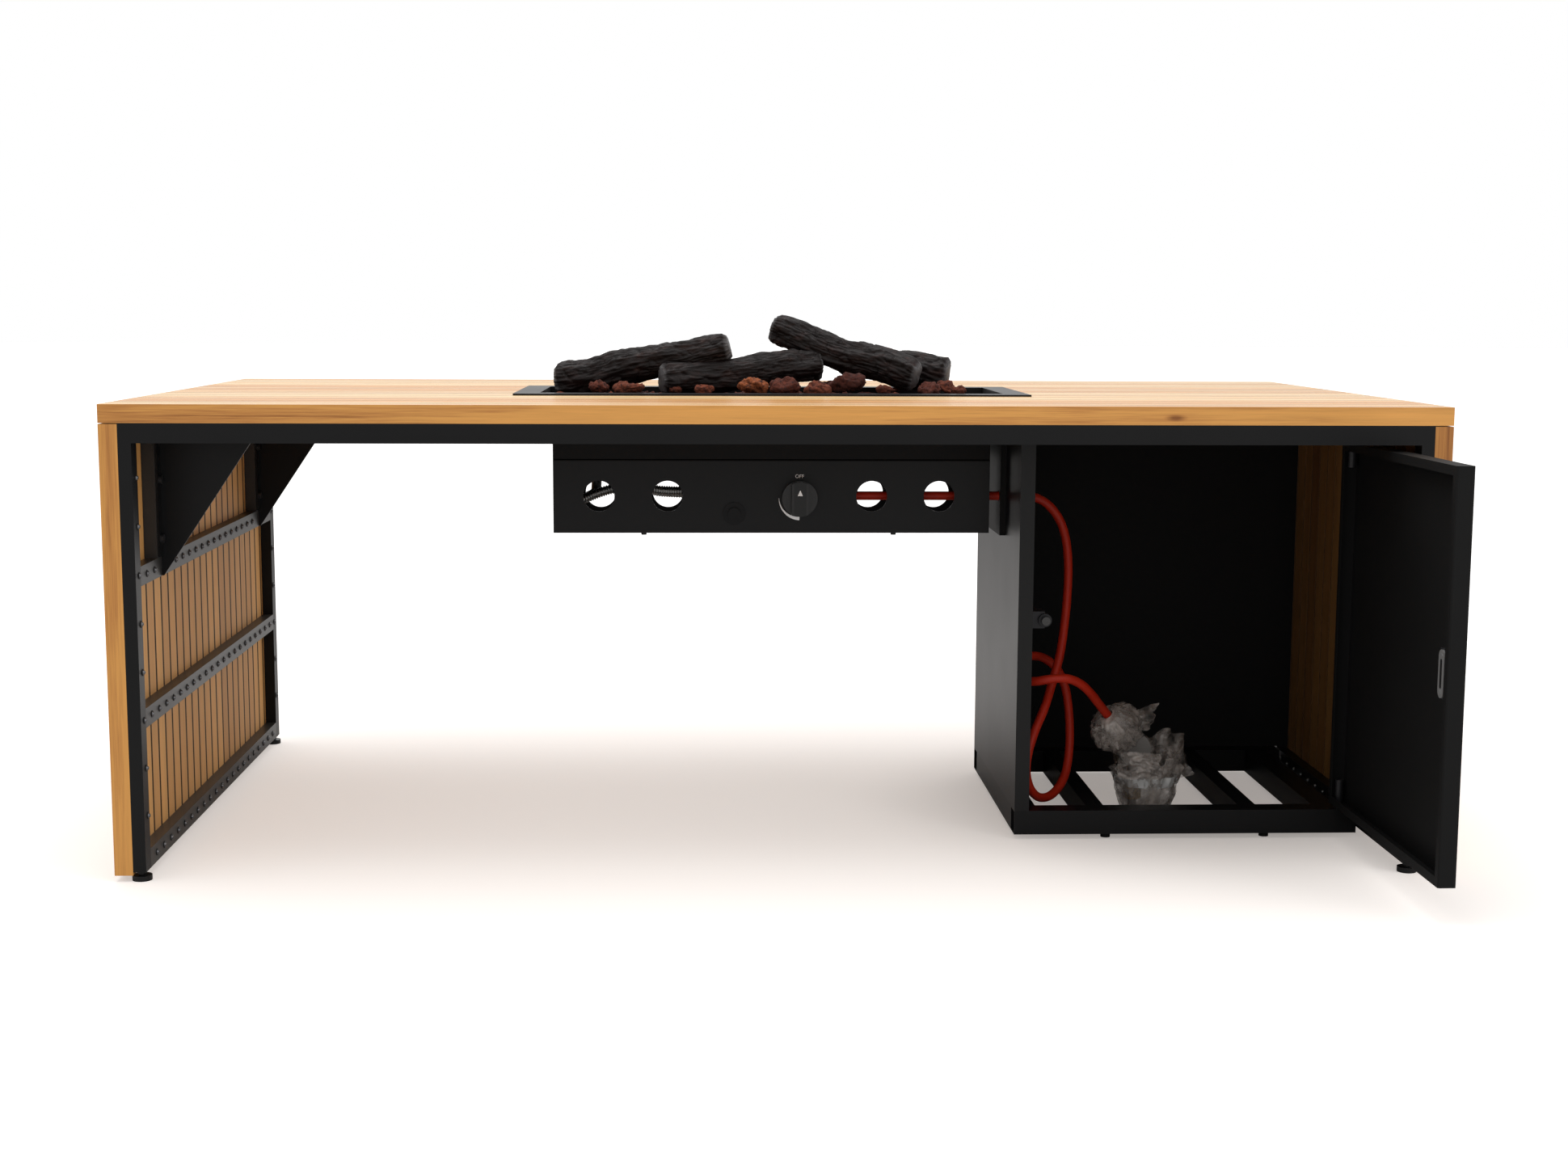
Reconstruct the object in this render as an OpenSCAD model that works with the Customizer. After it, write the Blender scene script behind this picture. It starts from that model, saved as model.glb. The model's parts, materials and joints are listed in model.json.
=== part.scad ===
// Fire pit table: teak slats on a steel tube frame, a gas burner with logs, and a gas bottle cabinet.
// Millimetres. +X runs along the table to the right, +Y away from the door side, +Z up.
// The origin is on the floor, under the centre of the whole piece with its door standing open.

/* [Table] */
// Length of the top along X
table_w = 2040; // [1960:10:2200]
// Depth of the top along Y
table_d = 1050; // [1000:10:1150]
// Height of the top above the floor
table_h = 728; // [715:1:760]
// Thickness of every teak slat
slat_t = 28; // [24:1:32]
// Number of slats across the top
slat_n = 23; // [22:1:24]
// Gap between neighbouring slats
slat_gap = 4; // [3:0.5:6]
// Height of the end slats' lower edge above the floor
slat_lift = 10; // [6:1:14]
// Gap between the end slats and the top
end_gap = 1.5; // [0.5:0.5:3]

/* [Frame] */
// Width of the frame tube
tube_w = 30; // [26:1:34]
// Thickness of the frame tube
tube_t = 20; // [18:1:24]
// Wall of the frame tube
tube_wall = 1.5; // [1:0.5:3]
// Height of the posts' lower end above the floor
post_lift = 15; // [14:1:20]
// Number of rails in the left panel
left_rail_n = 4; // [4:1:5]
// Distance of a gusset's upright from the middle of the depth
gusset_off = 376; // [360:1:390]
// Reach of a gusset under the top
gusset_w = 168; // [120:1:220]
// Height of a gusset
gusset_h = 248; // [235:1:260]
// Thickness of the gusset plate
gusset_t = 3; // [2:0.5:5]
// Width of a gusset's bent flange
gusset_flange = 22; // [18:1:26]
// Distance of the cabinet side's upright behind the cabinet front
upright_inset = 0; // [0:1:10]

/* [Fasteners] */
// Radius of a slat screw's washer
washer_r = 5.5; // [4.5:0.5:7]
// Thickness of a slat screw's washer
washer_t = 1; // [0.8:0.1:1.5]
// Radius of a slat screw's head
head_r = 3.8; // [3:0.1:4.2]
// Height of a slat screw's head
head_h = 2.6; // [2:0.1:2.8]
// Radius of a slat screw's shank
shank_r = 2; // [1.5:0.1:2.4]
// Radial clearance of a shank in its hole
shank_clear = 0.5; // [0.3:0.1:1]
// Spacing of the screws up a post
post_screw_pitch = 74; // [60:1:90]
// Height of the lowest screw in a post
post_screw_z = 99; // [80:1:110]

/* [Levelling feet] */
// Radius of a foot's pad
foot_r = 15; // [12:1:18]
// Thickness of a foot's pad
foot_t = 8; // [6:0.5:8.5]
// Radius of a foot's stud
stud_r = 4; // [3:0.5:5]
// Length of a foot's stud above its pad
stud_l = 44; // [38:1:60]
// Radius of a lock nut over its corners
nut_r = 7; // [6.5:0.1:8]
// Radial clearance of a stud in its insert
stud_clear = 0.05; // [0.03:0.01:0.1]
// Height of the threaded insert in a post
insert_h = 30; // [20:1:35]

/* [Burner] */
// Width of the burner pan along X
pan_w = 779; // [760:1:790]
// Depth of the burner pan along Y
pan_d = 262; // [250:1:264]
// Depth of the pan's floor below the top
pan_h = 111; // [105:1:115]
// Depth of the ledge that carries the deck below the top
deck_drop = 38; // [34:1:44]
// Step of the pan's ends inwards below the ledge
housing_in = 22; // [18:1:40]
// Sheet thickness of the burner and the cabinet
sheet = 2; // [1.5:0.5:2.5]
// Width of the rim's flange outside the pan
rim_w = 40; // [36:1:60]
// Thickness of the rim
rim_t = 3; // [2:0.5:4]
// Clearance of the slats round the pan
cut_clear = 6; // [5:0.5:12]
// Gap between the pan and the cabinet side
pan_gap = 8.5; // [5:0.5:12]
// Clearance of the deck in the pan
deck_clear = 1; // [0.5:0.5:2]
// Radius of the burner tube
burner_r = 12; // [10:1:14]
// Length of the burner tube
burner_l = 620; // [560:10:660]
// Radius of a lava stone
stone_r = 20; // [18:0.5:21]
// Spacing of the lava stones
stone_pitch = 44; // [43:0.5:46]

/* [Control box] */
// Height of the control box
box_h = 121; // [110:1:130]
// Depth of the control box behind its front
box_d = 94; // [85:1:110]
// How far behind the fascia the control box's rear wall stands
box_back = 85; // [80:1:90]
// Radius of a vent hole
vent_r = 26; // [20:1:28]
// Radius of the knob
knob_r = 30; // [26:0.5:32]
// Gap between the knob and the fascia
knob_gap = 5; // [4.8:0.1:7]
// Radius of the valve stem
stem_r = 5; // [4:0.5:6]
// Radial clearance of the stem in its bores
stem_clear = 0.05; // [0.03:0.01:0.1]
// Travel of the valve stem when the knob is pressed
stem_travel = 4; // [3:0.5:4]
// Radius of the igniter button
button_r = 10.5; // [9:0.5:11]
// Radial clearance of the igniter button
button_clear = 0.1; // [0.05:0.01:0.1]
// Height of the igniter button above its bezel
button_out = 7; // [6:0.5:9]
// Travel of the igniter button
button_travel = 5; // [3:0.5:5]
// Radius of the main gas pipe
main_r = 8; // [7:0.5:9]
// Radius of the pilot gas pipe
pilot_r = 6; // [4.5:0.5:6.5]

/* [Cabinet] */
// Width of the bottle cabinet
cab_w = 579; // [560:1:600]
// Depth of the bottle cabinet
cab_d = 513; // [490:1:540]
// Distance of the cabinet front behind the table's front edge
cab_setback = 225; // [215:1:240]
// Height of the cabinet's base frame tube
base_h = 40; // [35:1:45]
// Width of the base frame tube
base_w = 40; // [35:1:45]
// Width of a base bar
bar_w = 30; // [25:1:35]
// Distance of the first bar from the left base tube
bar_left = 85; // [80:1:95]
// Distance of the second bar from the right base tube
bar_right = 95; // [80:1:110]
// Gap between the right base tube and the end frame
tube_in = 32; // [26:1:40]
// Height of a glide under the base frame
glide_h = 9; // [6:0.5:12]
// Radius of a glide
glide_r = 8; // [6:0.5:10]
// Distance of the front and back glides from the cabinet's ends
glide_in = 156; // [148:1:164]
// Distance of the side glides from the cabinet's front
glide_front = 113; // [60:1:120]
// Distance of the side glides from the cabinet's back
glide_back = 90; // [60:1:120]
// Width of the cabinet side's front flange
flange_w = 24; // [20:1:26]
// Depth of the return lip behind the front flange
lip_d = 10; // [6:1:12]
// Width of the hinge post
post_w = 12.5; // [10:0.5:14]
// Depth of the hinge post
post_d = 110; // [80:1:130]
// Distance of the latch from the cabinet side's outer face
latch_in = 51; // [49:0.5:55]
// Height of the latch above the floor
latch_z = 362; // [300:1:400]
// Thickness of the heat shield's folded tray
shield_t = 10; // [8:0.5:12]

/* [Door] */
// Thickness of the door
door_t = 27; // [25:0.5:28]
// Sheet thickness of the door
door_skin = 1.5; // [1:0.1:2]
// Gap beside the door's free edge
door_gap = 4; // [3:0.5:6]
// Gap between the door's hinge edge and its post
hinge_gap = 6.5; // [6.3:0.1:8]
// Gap under the door
door_sill = 6; // [5:0.5:9]
// Gap between the door and the frame above it
door_head = 10; // [9:0.5:14]
// Width of the return lip round the inside of the door
door_lip = 14; // [10:1:16]
// Radius of a hinge pin
pin_r = 4; // [3:0.5:5]
// Radial clearance of a hinge pin
pin_clear = 0.05; // [0.03:0.01:0.1]

/* [Gas hose] */
// Radius of the gas hose
hose_r = 7.5; // [6:0.5:7.5]
// Distance of the regulator's centre from the hose's end
reg_reach = 85; // [80:1:90]
// Radius of the regulator's diaphragm housing
reg_r = 28; // [25:0.5:28.5]

/* [Hidden] */
$fn = 48;
// Overshoot of a cut past the face that it leaves
cut = 1;
teak = "burlywood";
black = "#232425";

// Frame planes along X
frame_out = table_w/2 - slat_t;
frame_x = frame_out - tube_t;

// Door and cabinet across X
cab_x = frame_x - cab_w;
post_x = frame_x - post_w;
door_x0 = cab_x + flange_w + door_gap;
door_w = post_x - hinge_gap - door_x0;
pivot_x = post_x - hinge_gap - door_t/2;

// The open door stands out past the table's front, so the table sits behind the origin
door_out = door_w - door_t - cab_setback;
table_y = max(door_out, 0)/2;
front_y = table_y - table_d/2;
back_y = table_y + table_d/2;
cab_y0 = front_y + cab_setback;
cab_y1 = cab_y0 + cab_d;
pivot_y = cab_y0 + door_t/2;

// Heights
top_under = table_h - slat_t;
frame_under = top_under - tube_w;
base_top = glide_h + base_h;
door_z0 = base_top + door_sill;
door_z1 = frame_under - door_head;

// Slats
slat_w = (table_d - (slat_n - 1)*slat_gap)/slat_n;
slat_pitch = slat_w + slat_gap;
function slat_y(i) = front_y + i*slat_pitch;
function slat_mid(i) = slat_y(i) + slat_w/2;

// Burner, in the opening that the short slats leave
cut_n = ceil((pan_d + 2*cut_clear/2 + slat_gap)/slat_pitch);
cut_first = floor((slat_n - cut_n)/2);
burner_x = cab_x - pan_gap - pan_w/2;
burner_y = slat_y(cut_first) + (cut_n*slat_pitch - slat_gap)/2;
housing_w = pan_w - 2*housing_in;
opening_x0 = burner_x - pan_w/2 - cut_clear;
opening_x1 = burner_x + pan_w/2 + cut_clear;
pan_floor = table_h - pan_h;
deck_z = table_h - deck_drop;
stub_x = burner_x - 300;
pilot_x = burner_x - 250;
pilot_y = burner_y - 60;
stub_drop = 17;
stub_z = pan_floor - stub_drop;
tube_z = pan_floor + 38;

// Control box, flush with the burner's front
fascia_y = burner_y - pan_d/2;
fascia_back = fascia_y + sheet;
box_z = pan_floor - box_h;
vent_z = box_z + 62;
vents = [-291, -176, 168, 282];
knob_x = burner_x + 46;
knob_z = box_z + 59;
igniter_x = burner_x - 64;
igniter_z = box_z + 33;
valve_w = 44;
valve_d = 46;
valve_h = 40;
hose_z = box_z + 60;
hose_y = fascia_y + 36;
inlet_l = 15;
main_out_y = fascia_y + 29;
main_out_z = box_z + 67;
pilot_out_y = fascia_y + 42;
pilot_out_z = box_z + 54;
outlet_l = 15;
knob_skirt = 8;
knob_grip = 16;
stem_front = 22;
stem_in = 30;
bezel_t = 3;
bezel_r = 19;
barrel_r = 13.8;
barrel_l = 60;
button_l = 16;

// Cross rails under the top slats
cross_x = [(opening_x0 - tube_w - frame_x)/2, opening_x0 - tube_w/2, cab_x + tube_w/2,
    (cab_x + tube_w + frame_x)/2];

// Rails of the end panels
left_rail_z = [for (i = [0:left_rail_n - 1]) post_lift + i*(top_under - tube_w - post_lift)/(left_rail_n - 1)];
right_rail_z = [post_lift, frame_under];
gusset_rail = left_rail_z[left_rail_n - 2];
upright_y = [table_y - gusset_off, table_y + gusset_off];
web_shift = gusset_flange/2 - 2;
right_uprights = [cab_y0 + tube_w/2 + upright_inset, cab_y1 + tube_w/2];

// Base frame
base_clear = head_h + washer_t + 2.4;
base_x1 = frame_x - base_clear;
right_tube_x = frame_x - tube_in - base_w;
bar_x = [cab_x + base_w + bar_left, right_tube_x - bar_right - bar_w];

// Latch and strike: the strike meets the latch when the door is shut
latch_x = cab_x + latch_in;
latch_tip = 0.3;
strike_t = 3;
strike_y = pivot_y - (pivot_x - latch_x);
latch_y0 = pivot_y + door_t/2 + 1 + latch_tip;
latch_body_y = cab_y0 + 38;
latch_body_l = 47;
latch_shaft_r = 6;
latch_ring_r = 7;
latch_ring_t = 2.7;

// Route of the gas hose inside the cabinet, about the middle of the table's depth
hose_points = [[150, -118, 556], [260, -118, 556], [360, -118, 556], [405, -118, 556],
    [439, -118, 555], [467, -117, 542], [489, -116, 515], [501, -117, 479], [505, -121, 436],
    [503, -129, 386], [497, -142, 337], [487, -161, 288], [471, -184, 243], [454, -210, 204],
    [436, -232, 172], [423, -247, 139], [419, -250, 105], [427, -242, 75], [444, -224, 55],
    [465, -202, 50], [485, -178, 58], [501, -156, 77], [510, -137, 105], [514, -122, 143],
    [513, -112, 183], [507, -106, 221], [492, -105, 254], [465, -112, 275], [434, -128, 279],
    [411, -151, 271], [403, -182, 259], [411, -212, 253], [433, -235, 255], [462, -244, 261],
    [489, -240, 260], [513, -228, 248], [533, -210, 229], [548, -191, 211], [562, -176, 194],
    [576, -165, 177]];
valve_x1 = knob_x + valve_w/2;
hose_path = concat([[valve_x1 + inlet_l, hose_y, hose_z]], [for (p = hose_points) p + [0, table_y, 0]]);
hose_end = hose_path[len(hose_path) - 1];
tail_dir = unit(hose_end - hose_path[len(hose_path) - 2]);
tail_l = 30;
tail_r = 6.5;
reg_at = hose_end + reg_reach*tail_dir;
reg_t = 30;
spigot_r = 8;
spigot_z = 5.3;
gas_nut_z = 30;
gas_nut_h = 30;
wrap_at = [reg_at.x + 24, reg_at.y - 3];

// Vector helpers
function unit(v) = v/norm(v);
function tangent(p, i) = unit((i == 0 ? [0, 0, 0] : unit(p[i] - p[i - 1]))
    + (i == len(p) - 1 ? [0, 0, 0] : unit(p[i + 1] - p[i])));
function normals(p, n, i = 0) = i == len(p) ? [] :
    let (t = tangent(p, i), m = unit(n - (n*t)*t)) concat([m], normals(p, m, i + 1));

// A body swept along points, with a radius at each point and a small unevenness
module swept(points, radii, sides, first_normal, rough = 0) {
    n = len(points);
    side = normals(points, first_normal);
    rings = [for (i = [0:n - 1], j = [0:sides - 1])
        let (t = tangent(points, i), u = side[i], v = cross(t, u), a = 360*j/sides,
            r = radii[i]*(1 + rough*sin(97*i + 151*j)))
            points[i] + r*(cos(a)*u + sin(a)*v)];
    walls = [for (i = [0:n - 2], j = [0:sides - 1])
        let (k = (j + 1)%sides) [i*sides + j, (i + 1)*sides + j, (i + 1)*sides + k, i*sides + k]];
    start_cap = [[for (j = [0:sides - 1]) j]];
    end_cap = [[for (j = [sides - 1:-1:0]) (n - 1)*sides + j]];
    polyhedron(points = rings, faces = concat(walls, start_cap, end_cap), convexity = 10);
}

// A box between two corners
module block(low, high) {
    translate(low) cube(high - low);
}

// A rectangular tube between two corners, open at both ends along the named axis
module tube(low, high, axis, wall) {
    in = [axis == 0 ? -cut : wall, axis == 1 ? -cut : wall, axis == 2 ? -cut : wall];
    difference() {
        block(low, high);
        block(low + in, high - in);
    }
}

// Cylinders along X and Y, from a start point
module rod_x(at, r, l) {
    translate(at) rotate([0, 90, 0]) cylinder(r = r, h = l);
}

module rod_y(at, r, l) {
    translate(at) rotate([-90, 0, 0]) cylinder(r = r, h = l);
}

module rod_z(at, r, l) {
    translate(at) cylinder(r = r, h = l);
}

// Places a shape that stands along Z so that it points along a direction
module along(at, dir) {
    translate(at) rotate([0, acos(dir.z), atan2(dir.y, dir.x)]) children();
}

// A screw standing along Z with the underside of its washer at zero and its shank upwards
module slat_screw(grip) {
    translate([0, 0, -washer_t]) cylinder(r = washer_r, h = washer_t);
    translate([0, 0, -washer_t - head_h]) cylinder(r = head_r, h = head_h + washer_t/2);
    translate([0, 0, -washer_t/2]) cylinder(r = shank_r, h = grip + washer_t/2);
}

// Turns a Z shape to point to the left (-1) or to the right (+1)
module to_side(side) {
    rotate([0, side*90, 0]) children();
}

// Screw places of one end panel: [y, z] on the rails and on the posts
function behind_gusset(side, i, z) = side < 0 && z > gusset_rail - 1
    && min([for (y = upright_y) abs(slat_mid(i) - y - web_shift/2)]) < gusset_flange/2 + washer_r + 2;
function rail_screws(side, rails) = [for (z = rails, i = [1:slat_n - 2])
    if (!behind_gusset(side, i, z)) [slat_mid(i), z + tube_w/2]];
post_screw_n = floor((frame_under - washer_r - post_screw_z)/post_screw_pitch) + 1;
post_screws = [for (i = [0, slat_n - 1], k = [0:post_screw_n - 1])
    [slat_mid(i), post_screw_z + k*post_screw_pitch]];

module panel_screws(side, rails) {
    color("silver")
        for (p = concat(rail_screws(side, rails), post_screws))
            translate([side*frame_x, p.x, p.y]) to_side(side) slat_screw(tube_t);
}

// Clearance holes for the screws of one end panel
module panel_holes(side, places) {
    for (p = places)
        rod_x([side*(frame_x + tube_t/2) - tube_t/2 - cut, p.x, p.y], shank_r + shank_clear, tube_t + 2*cut);
}

// ---- Teak slats ----

module slat(i, x0, x1) {
    block([x0, slat_y(i), top_under], [x1, slat_y(i) + slat_w, table_h]);
}

module top_slats_front() {
    color(teak) for (i = [0:cut_first - 1]) slat(i, -table_w/2, table_w/2);
}

module top_slats_back() {
    color(teak) for (i = [cut_first + cut_n:slat_n - 1]) slat(i, -table_w/2, table_w/2);
}

module top_slats_left() {
    color(teak) for (i = [cut_first:cut_first + cut_n - 1]) slat(i, -table_w/2, opening_x0);
}

module top_slats_right() {
    color(teak) for (i = [cut_first:cut_first + cut_n - 1]) slat(i, opening_x1, table_w/2);
}

module panel_slats(side) {
    color(teak)
        for (i = [0:slat_n - 1])
            translate([side*(frame_out + slat_t/2) - slat_t/2, slat_y(i), slat_lift])
                cube([slat_t, slat_w, top_under - end_gap - slat_lift]);
}

module left_panel_slats() {
    panel_slats(-1);
}

module right_panel_slats() {
    panel_slats(1);
}

// ---- End frames ----

module frame_tube_z(side, y_mid, z0, z1) {
    x0 = side*(frame_x + tube_t/2) - tube_t/2;
    tube([x0, y_mid - tube_w/2, z0], [x0 + tube_t, y_mid + tube_w/2, z1], 2, tube_wall);
}

module frame_tube_y(side, z0) {
    x0 = side*(frame_x + tube_t/2) - tube_t/2;
    tube([x0, front_y + tube_w, z0], [x0 + tube_t, back_y - tube_w, z0 + tube_w], 1, tube_wall);
}

module post_insert(side, y_mid) {
    x_mid = side*(frame_x + tube_t/2);
    size = [tube_t - 2*tube_wall, tube_w - 2*tube_wall];
    difference() {
        translate([x_mid - size.x/2, y_mid - size.y/2, post_lift]) cube([size.x, size.y, insert_h]);
        rod_z([x_mid, y_mid, post_lift - cut], stud_r + stud_clear, insert_h + 2*cut);
    }
}

module posts(side) {
    color(black) {
        difference() {
            for (y = [front_y + tube_w/2, back_y - tube_w/2]) frame_tube_z(side, y, post_lift, top_under);
            panel_holes(side, post_screws);
        }
        for (y = [front_y + tube_w/2, back_y - tube_w/2]) post_insert(side, y);
    }
}

module left_posts() {
    posts(-1);
}

module right_posts() {
    posts(1);
}

module left_rails() {
    color(black) {
        difference() {
            for (z = left_rail_z) frame_tube_y(-1, z);
            panel_holes(-1, rail_screws(-1, left_rail_z));
        }
        difference() {
            for (y = upright_y) frame_tube_z(-1, y, gusset_rail + tube_w, frame_under);
            for (y = upright_y, z = bolt_z)
                rod_x([-frame_x - tube_wall - cut, y - gusset_t, z], bolt_r + shank_clear, tube_wall + 2*cut);
        }
    }
}

module right_rails() {
    color(black) {
        difference() {
            for (z = right_rail_z) frame_tube_y(1, z);
            panel_holes(1, rail_screws(1, right_rail_z));
        }
        for (y = right_uprights) frame_tube_z(1, y, post_lift + tube_w, frame_under);
    }
}

module left_panel_screws() {
    panel_screws(-1, left_rail_z);
}

module right_panel_screws() {
    panel_screws(1, right_rail_z);
}

// ---- Rails under the top ----

module front_apron() {
    color(black) tube([-frame_x, front_y, frame_under], [frame_x, front_y + tube_t, top_under], 0, tube_wall);
}

module back_apron() {
    color(black) tube([-frame_x, back_y - tube_t, frame_under], [frame_x, back_y, top_under], 0, tube_wall);
}

module cross_rails() {
    color(black)
        difference() {
            for (x = cross_x)
                tube([x - tube_w/2, front_y + tube_t, frame_under], [x + tube_w/2, back_y - tube_t, top_under],
                    1, tube_wall);
            for (x = cross_x, i = [0:slat_n - 1])
                if (under_cross(i)) rod_z([x, slat_mid(i), frame_under - cut], shank_r + shank_clear,
                    tube_w + 2*cut);
        }
}

// A slat takes a screw where its washer lies wholly under a cross rail
function under_cross(i) = slat_mid(i) > front_y + tube_t + washer_r && slat_mid(i) < back_y - tube_t - washer_r;

module top_screws() {
    color("silver")
        for (x = cross_x, i = [0:slat_n - 1])
            if (under_cross(i)) translate([x, slat_mid(i), frame_under]) slat_screw(tube_w);
}

// ---- Gussets ----

bolt_r = 4;
bolt_head_r = 6.5;
bolt_head_h = 5.3;
bolt_z = [gusset_rail + tube_w + 30, frame_under - 66];

module gussets() {
    color(black)
        for (y = upright_y) {
            web_y = y + web_shift;
            flange_y = web_y - gusset_flange;
            difference() {
                union() {
                    translate([-frame_x, web_y + gusset_t, top_under]) rotate([90, 0, 0])
                        linear_extrude(gusset_t)
                            polygon([[0, 0], [gusset_w, 0], [gusset_w, -gusset_t], [gusset_t, -gusset_h],
                                [0, -gusset_h]]);
                    block([-frame_x, flange_y, gusset_rail + tube_w + 2],
                        [-frame_x + gusset_t, web_y, frame_under - 2]);
                    block([-frame_x + gusset_t, flange_y, top_under - gusset_t],
                        [-frame_x + gusset_w, web_y, top_under]);
                }
                for (z = bolt_z)
                    rod_x([-frame_x - cut, y - gusset_t, z], bolt_r + shank_clear, gusset_t + 2*cut);
            }
        }
}

module gusset_bolts() {
    color("silver")
        for (y = upright_y, z = bolt_z) {
            rod_x([-frame_x + gusset_t, y - gusset_t, z], bolt_head_r, bolt_head_h);
            rod_x([-frame_x - tube_wall - 6, y - gusset_t, z], bolt_r, gusset_t + tube_wall + 7);
        }
}

// ---- Burner ----

module burner_rim() {
    color(black)
        difference() {
            block([burner_x - pan_w/2 - rim_w, burner_y - pan_d/2 - rim_w, table_h],
                [burner_x + pan_w/2 + rim_w, burner_y + pan_d/2 + rim_w, table_h + rim_t]);
            block([burner_x - pan_w/2 + sheet, burner_y - pan_d/2 + sheet, table_h - cut],
                [burner_x + pan_w/2 - sheet, burner_y + pan_d/2 - sheet, table_h + rim_t + cut]);
        }
}

module burner_pan() {
    x = burner_x;
    y0 = burner_y - pan_d/2;
    y1 = burner_y + pan_d/2;
    color(black)
        difference() {
            union() {
                block([x - pan_w/2, y0, deck_z - sheet], [x + pan_w/2, y1, table_h]);
                block([x - housing_w/2, y0, pan_floor], [x + housing_w/2, y1, deck_z]);
            }
            block([x - pan_w/2 + sheet, y0 + sheet, deck_z], [x + pan_w/2 - sheet, y1 - sheet, table_h + cut]);
            block([x - housing_w/2 + sheet, y0 + sheet, pan_floor + sheet],
                [x + housing_w/2 - sheet, y1 - sheet, deck_z + cut]);
            rod_z([stub_x, burner_y, pan_floor - cut], main_r + 0.3, sheet + 2*cut);
            rod_z([pilot_x, pilot_y, pan_floor - cut], pilot_r - 1.7, sheet + 2*cut);
        }
}

module burner_deck() {
    w = pan_w - 2*sheet - 2*deck_clear;
    d = pan_d - 2*sheet - 2*deck_clear;
    port_n = 16;
    port_pitch = 40;
    color("dimgray")
        difference() {
            block([burner_x - w/2, burner_y - d/2, deck_z], [burner_x + w/2, burner_y + d/2, deck_z + sheet]);
            for (i = [0:port_n - 1], side = [-1, 1])
                rod_z([burner_x + (i - (port_n - 1)/2)*port_pitch, burner_y + side*30, deck_z - cut], 3.5,
                    sheet + 2*cut);
            rod_z([pilot_x, pilot_y, deck_z - cut], 14, sheet + 2*cut);
        }
}

module burner_tube() {
    wall = 1.5;
    port_n = 24;
    port_pitch = 24;
    color("silver") {
        difference() {
            rod_x([burner_x - burner_l/2, burner_y, tube_z], burner_r, burner_l);
            rod_x([burner_x - burner_l/2 + wall, burner_y, tube_z], burner_r - wall, burner_l - 2*wall);
            for (i = [0:port_n - 1])
                rod_z([burner_x + (i - (port_n - 1)/2)*port_pitch, burner_y, tube_z], 1.5, burner_r + cut);
        }
        rod_z([stub_x, burner_y, stub_z], main_r, tube_z - burner_r + wall/2 - stub_z);
        for (side = [-1, 1])
            block([burner_x + side*150 - 10, burner_y - 8, pan_floor + sheet],
                [burner_x + side*150 + 10, burner_y + 8, tube_z - burner_r + wall/2]);
    }
}

module pilot_burner() {
    flange_z = pan_floor + sheet;
    color("silver") {
        rod_z([pilot_x, pilot_y, stub_z], pilot_r - 2, deck_z - 6 - stub_z);
        rod_z([pilot_x, pilot_y, flange_z], 11, 2);
        block([pilot_x - 4, pilot_y - 4, flange_z], [pilot_x + 16, pilot_y + 4, flange_z + 2]);
        rod_z([pilot_x + 12, pilot_y, flange_z], 4, 30);
        rod_z([pilot_x + 12, pilot_y, flange_z + 29], 1.5, deck_z - 6 - flange_z - 29);
    }
}

// ---- Stones and logs ----

deck_top = deck_z + sheet;
// Half height of a stone, as a share of its radius
stone_half = cos(30);
stone_cols = floor((pan_w - 2*sheet - 2*stone_r - 4)/stone_pitch) + 1;
stone_rows = floor((pan_d - 2*sheet - 2*stone_r - 4)/(stone_pitch - 2)) + 1;
bed_top = deck_top + 2*stone_half*stone_r;
function stone_at(i, j) = [burner_x + (i - (stone_cols - 1)/2)*stone_pitch,
    burner_y + (j - (stone_rows - 1)/2)*(stone_pitch - 2)];
// Stones of the second layer: column, row and radius
upper_stones = [[1, 1, 10], [3, 0, 11], [5, 1, 10], [6, 0, 13], [8, 0, 12], [9, 1, 13], [10, 0, 15],
    [10, 3, 16.2], [11, 0, 14], [13, 0, 12], [13, 2, 7], [14, 1, 12], [11, 5, 17.5], [15, 3, 12],
    [2, 4, 12], [6, 4, 13]];

module stone(r, turn) {
    translate([0, 0, stone_half*r]) rotate([0, 0, turn]) sphere(r = r, $fn = 5);
}

module lava_rocks() {
    color("saddlebrown") {
        for (i = [0:stone_cols - 1], j = [0:stone_rows - 1])
            translate([stone_at(i, j).x, stone_at(i, j).y, deck_top]) stone(stone_r, 47*i + 31*j);
        for (s = upper_stones)
            translate([stone_at(s[0], s[1]).x, stone_at(s[0], s[1]).y, bed_top]) stone(s[2], 67*s[0] + 23*s[1]);
    }
}

// A log between two ends about the burner's centre, with its height above the stone bed
module log(from, to, r0, r1, sag) {
    steps = 8;
    origin = [burner_x, burner_y, bed_top];
    color("#30282a")
        swept([for (i = [0:steps]) let (s = i/steps) origin + from + s*(to - from) + [0, sag*sin(180*s), 0]],
            [for (i = [0:steps]) let (s = i/steps) (r0 + s*(r1 - r0))*(i == 0 || i == steps ? 0.9 : 1)],
            10, [0, 0, 1], 0.05);
}

module left_log() {
    log([-357, 23, 22.1], [-77, -27, 80.6], 24, 20, -6);
}

module centre_log() {
    log([-185, -52, 23.55], [85, 8, 47.65], 23.5, 23.5, 5);
}

module crossing_log() {
    log([13, 43, 116.8], [245, -37, 25.55], 20, 24, 5);
}

module back_log() {
    log([130, 98, 57], [310, 58, 24.55], 26, 26, 4);
}

// ---- Control box ----

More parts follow.
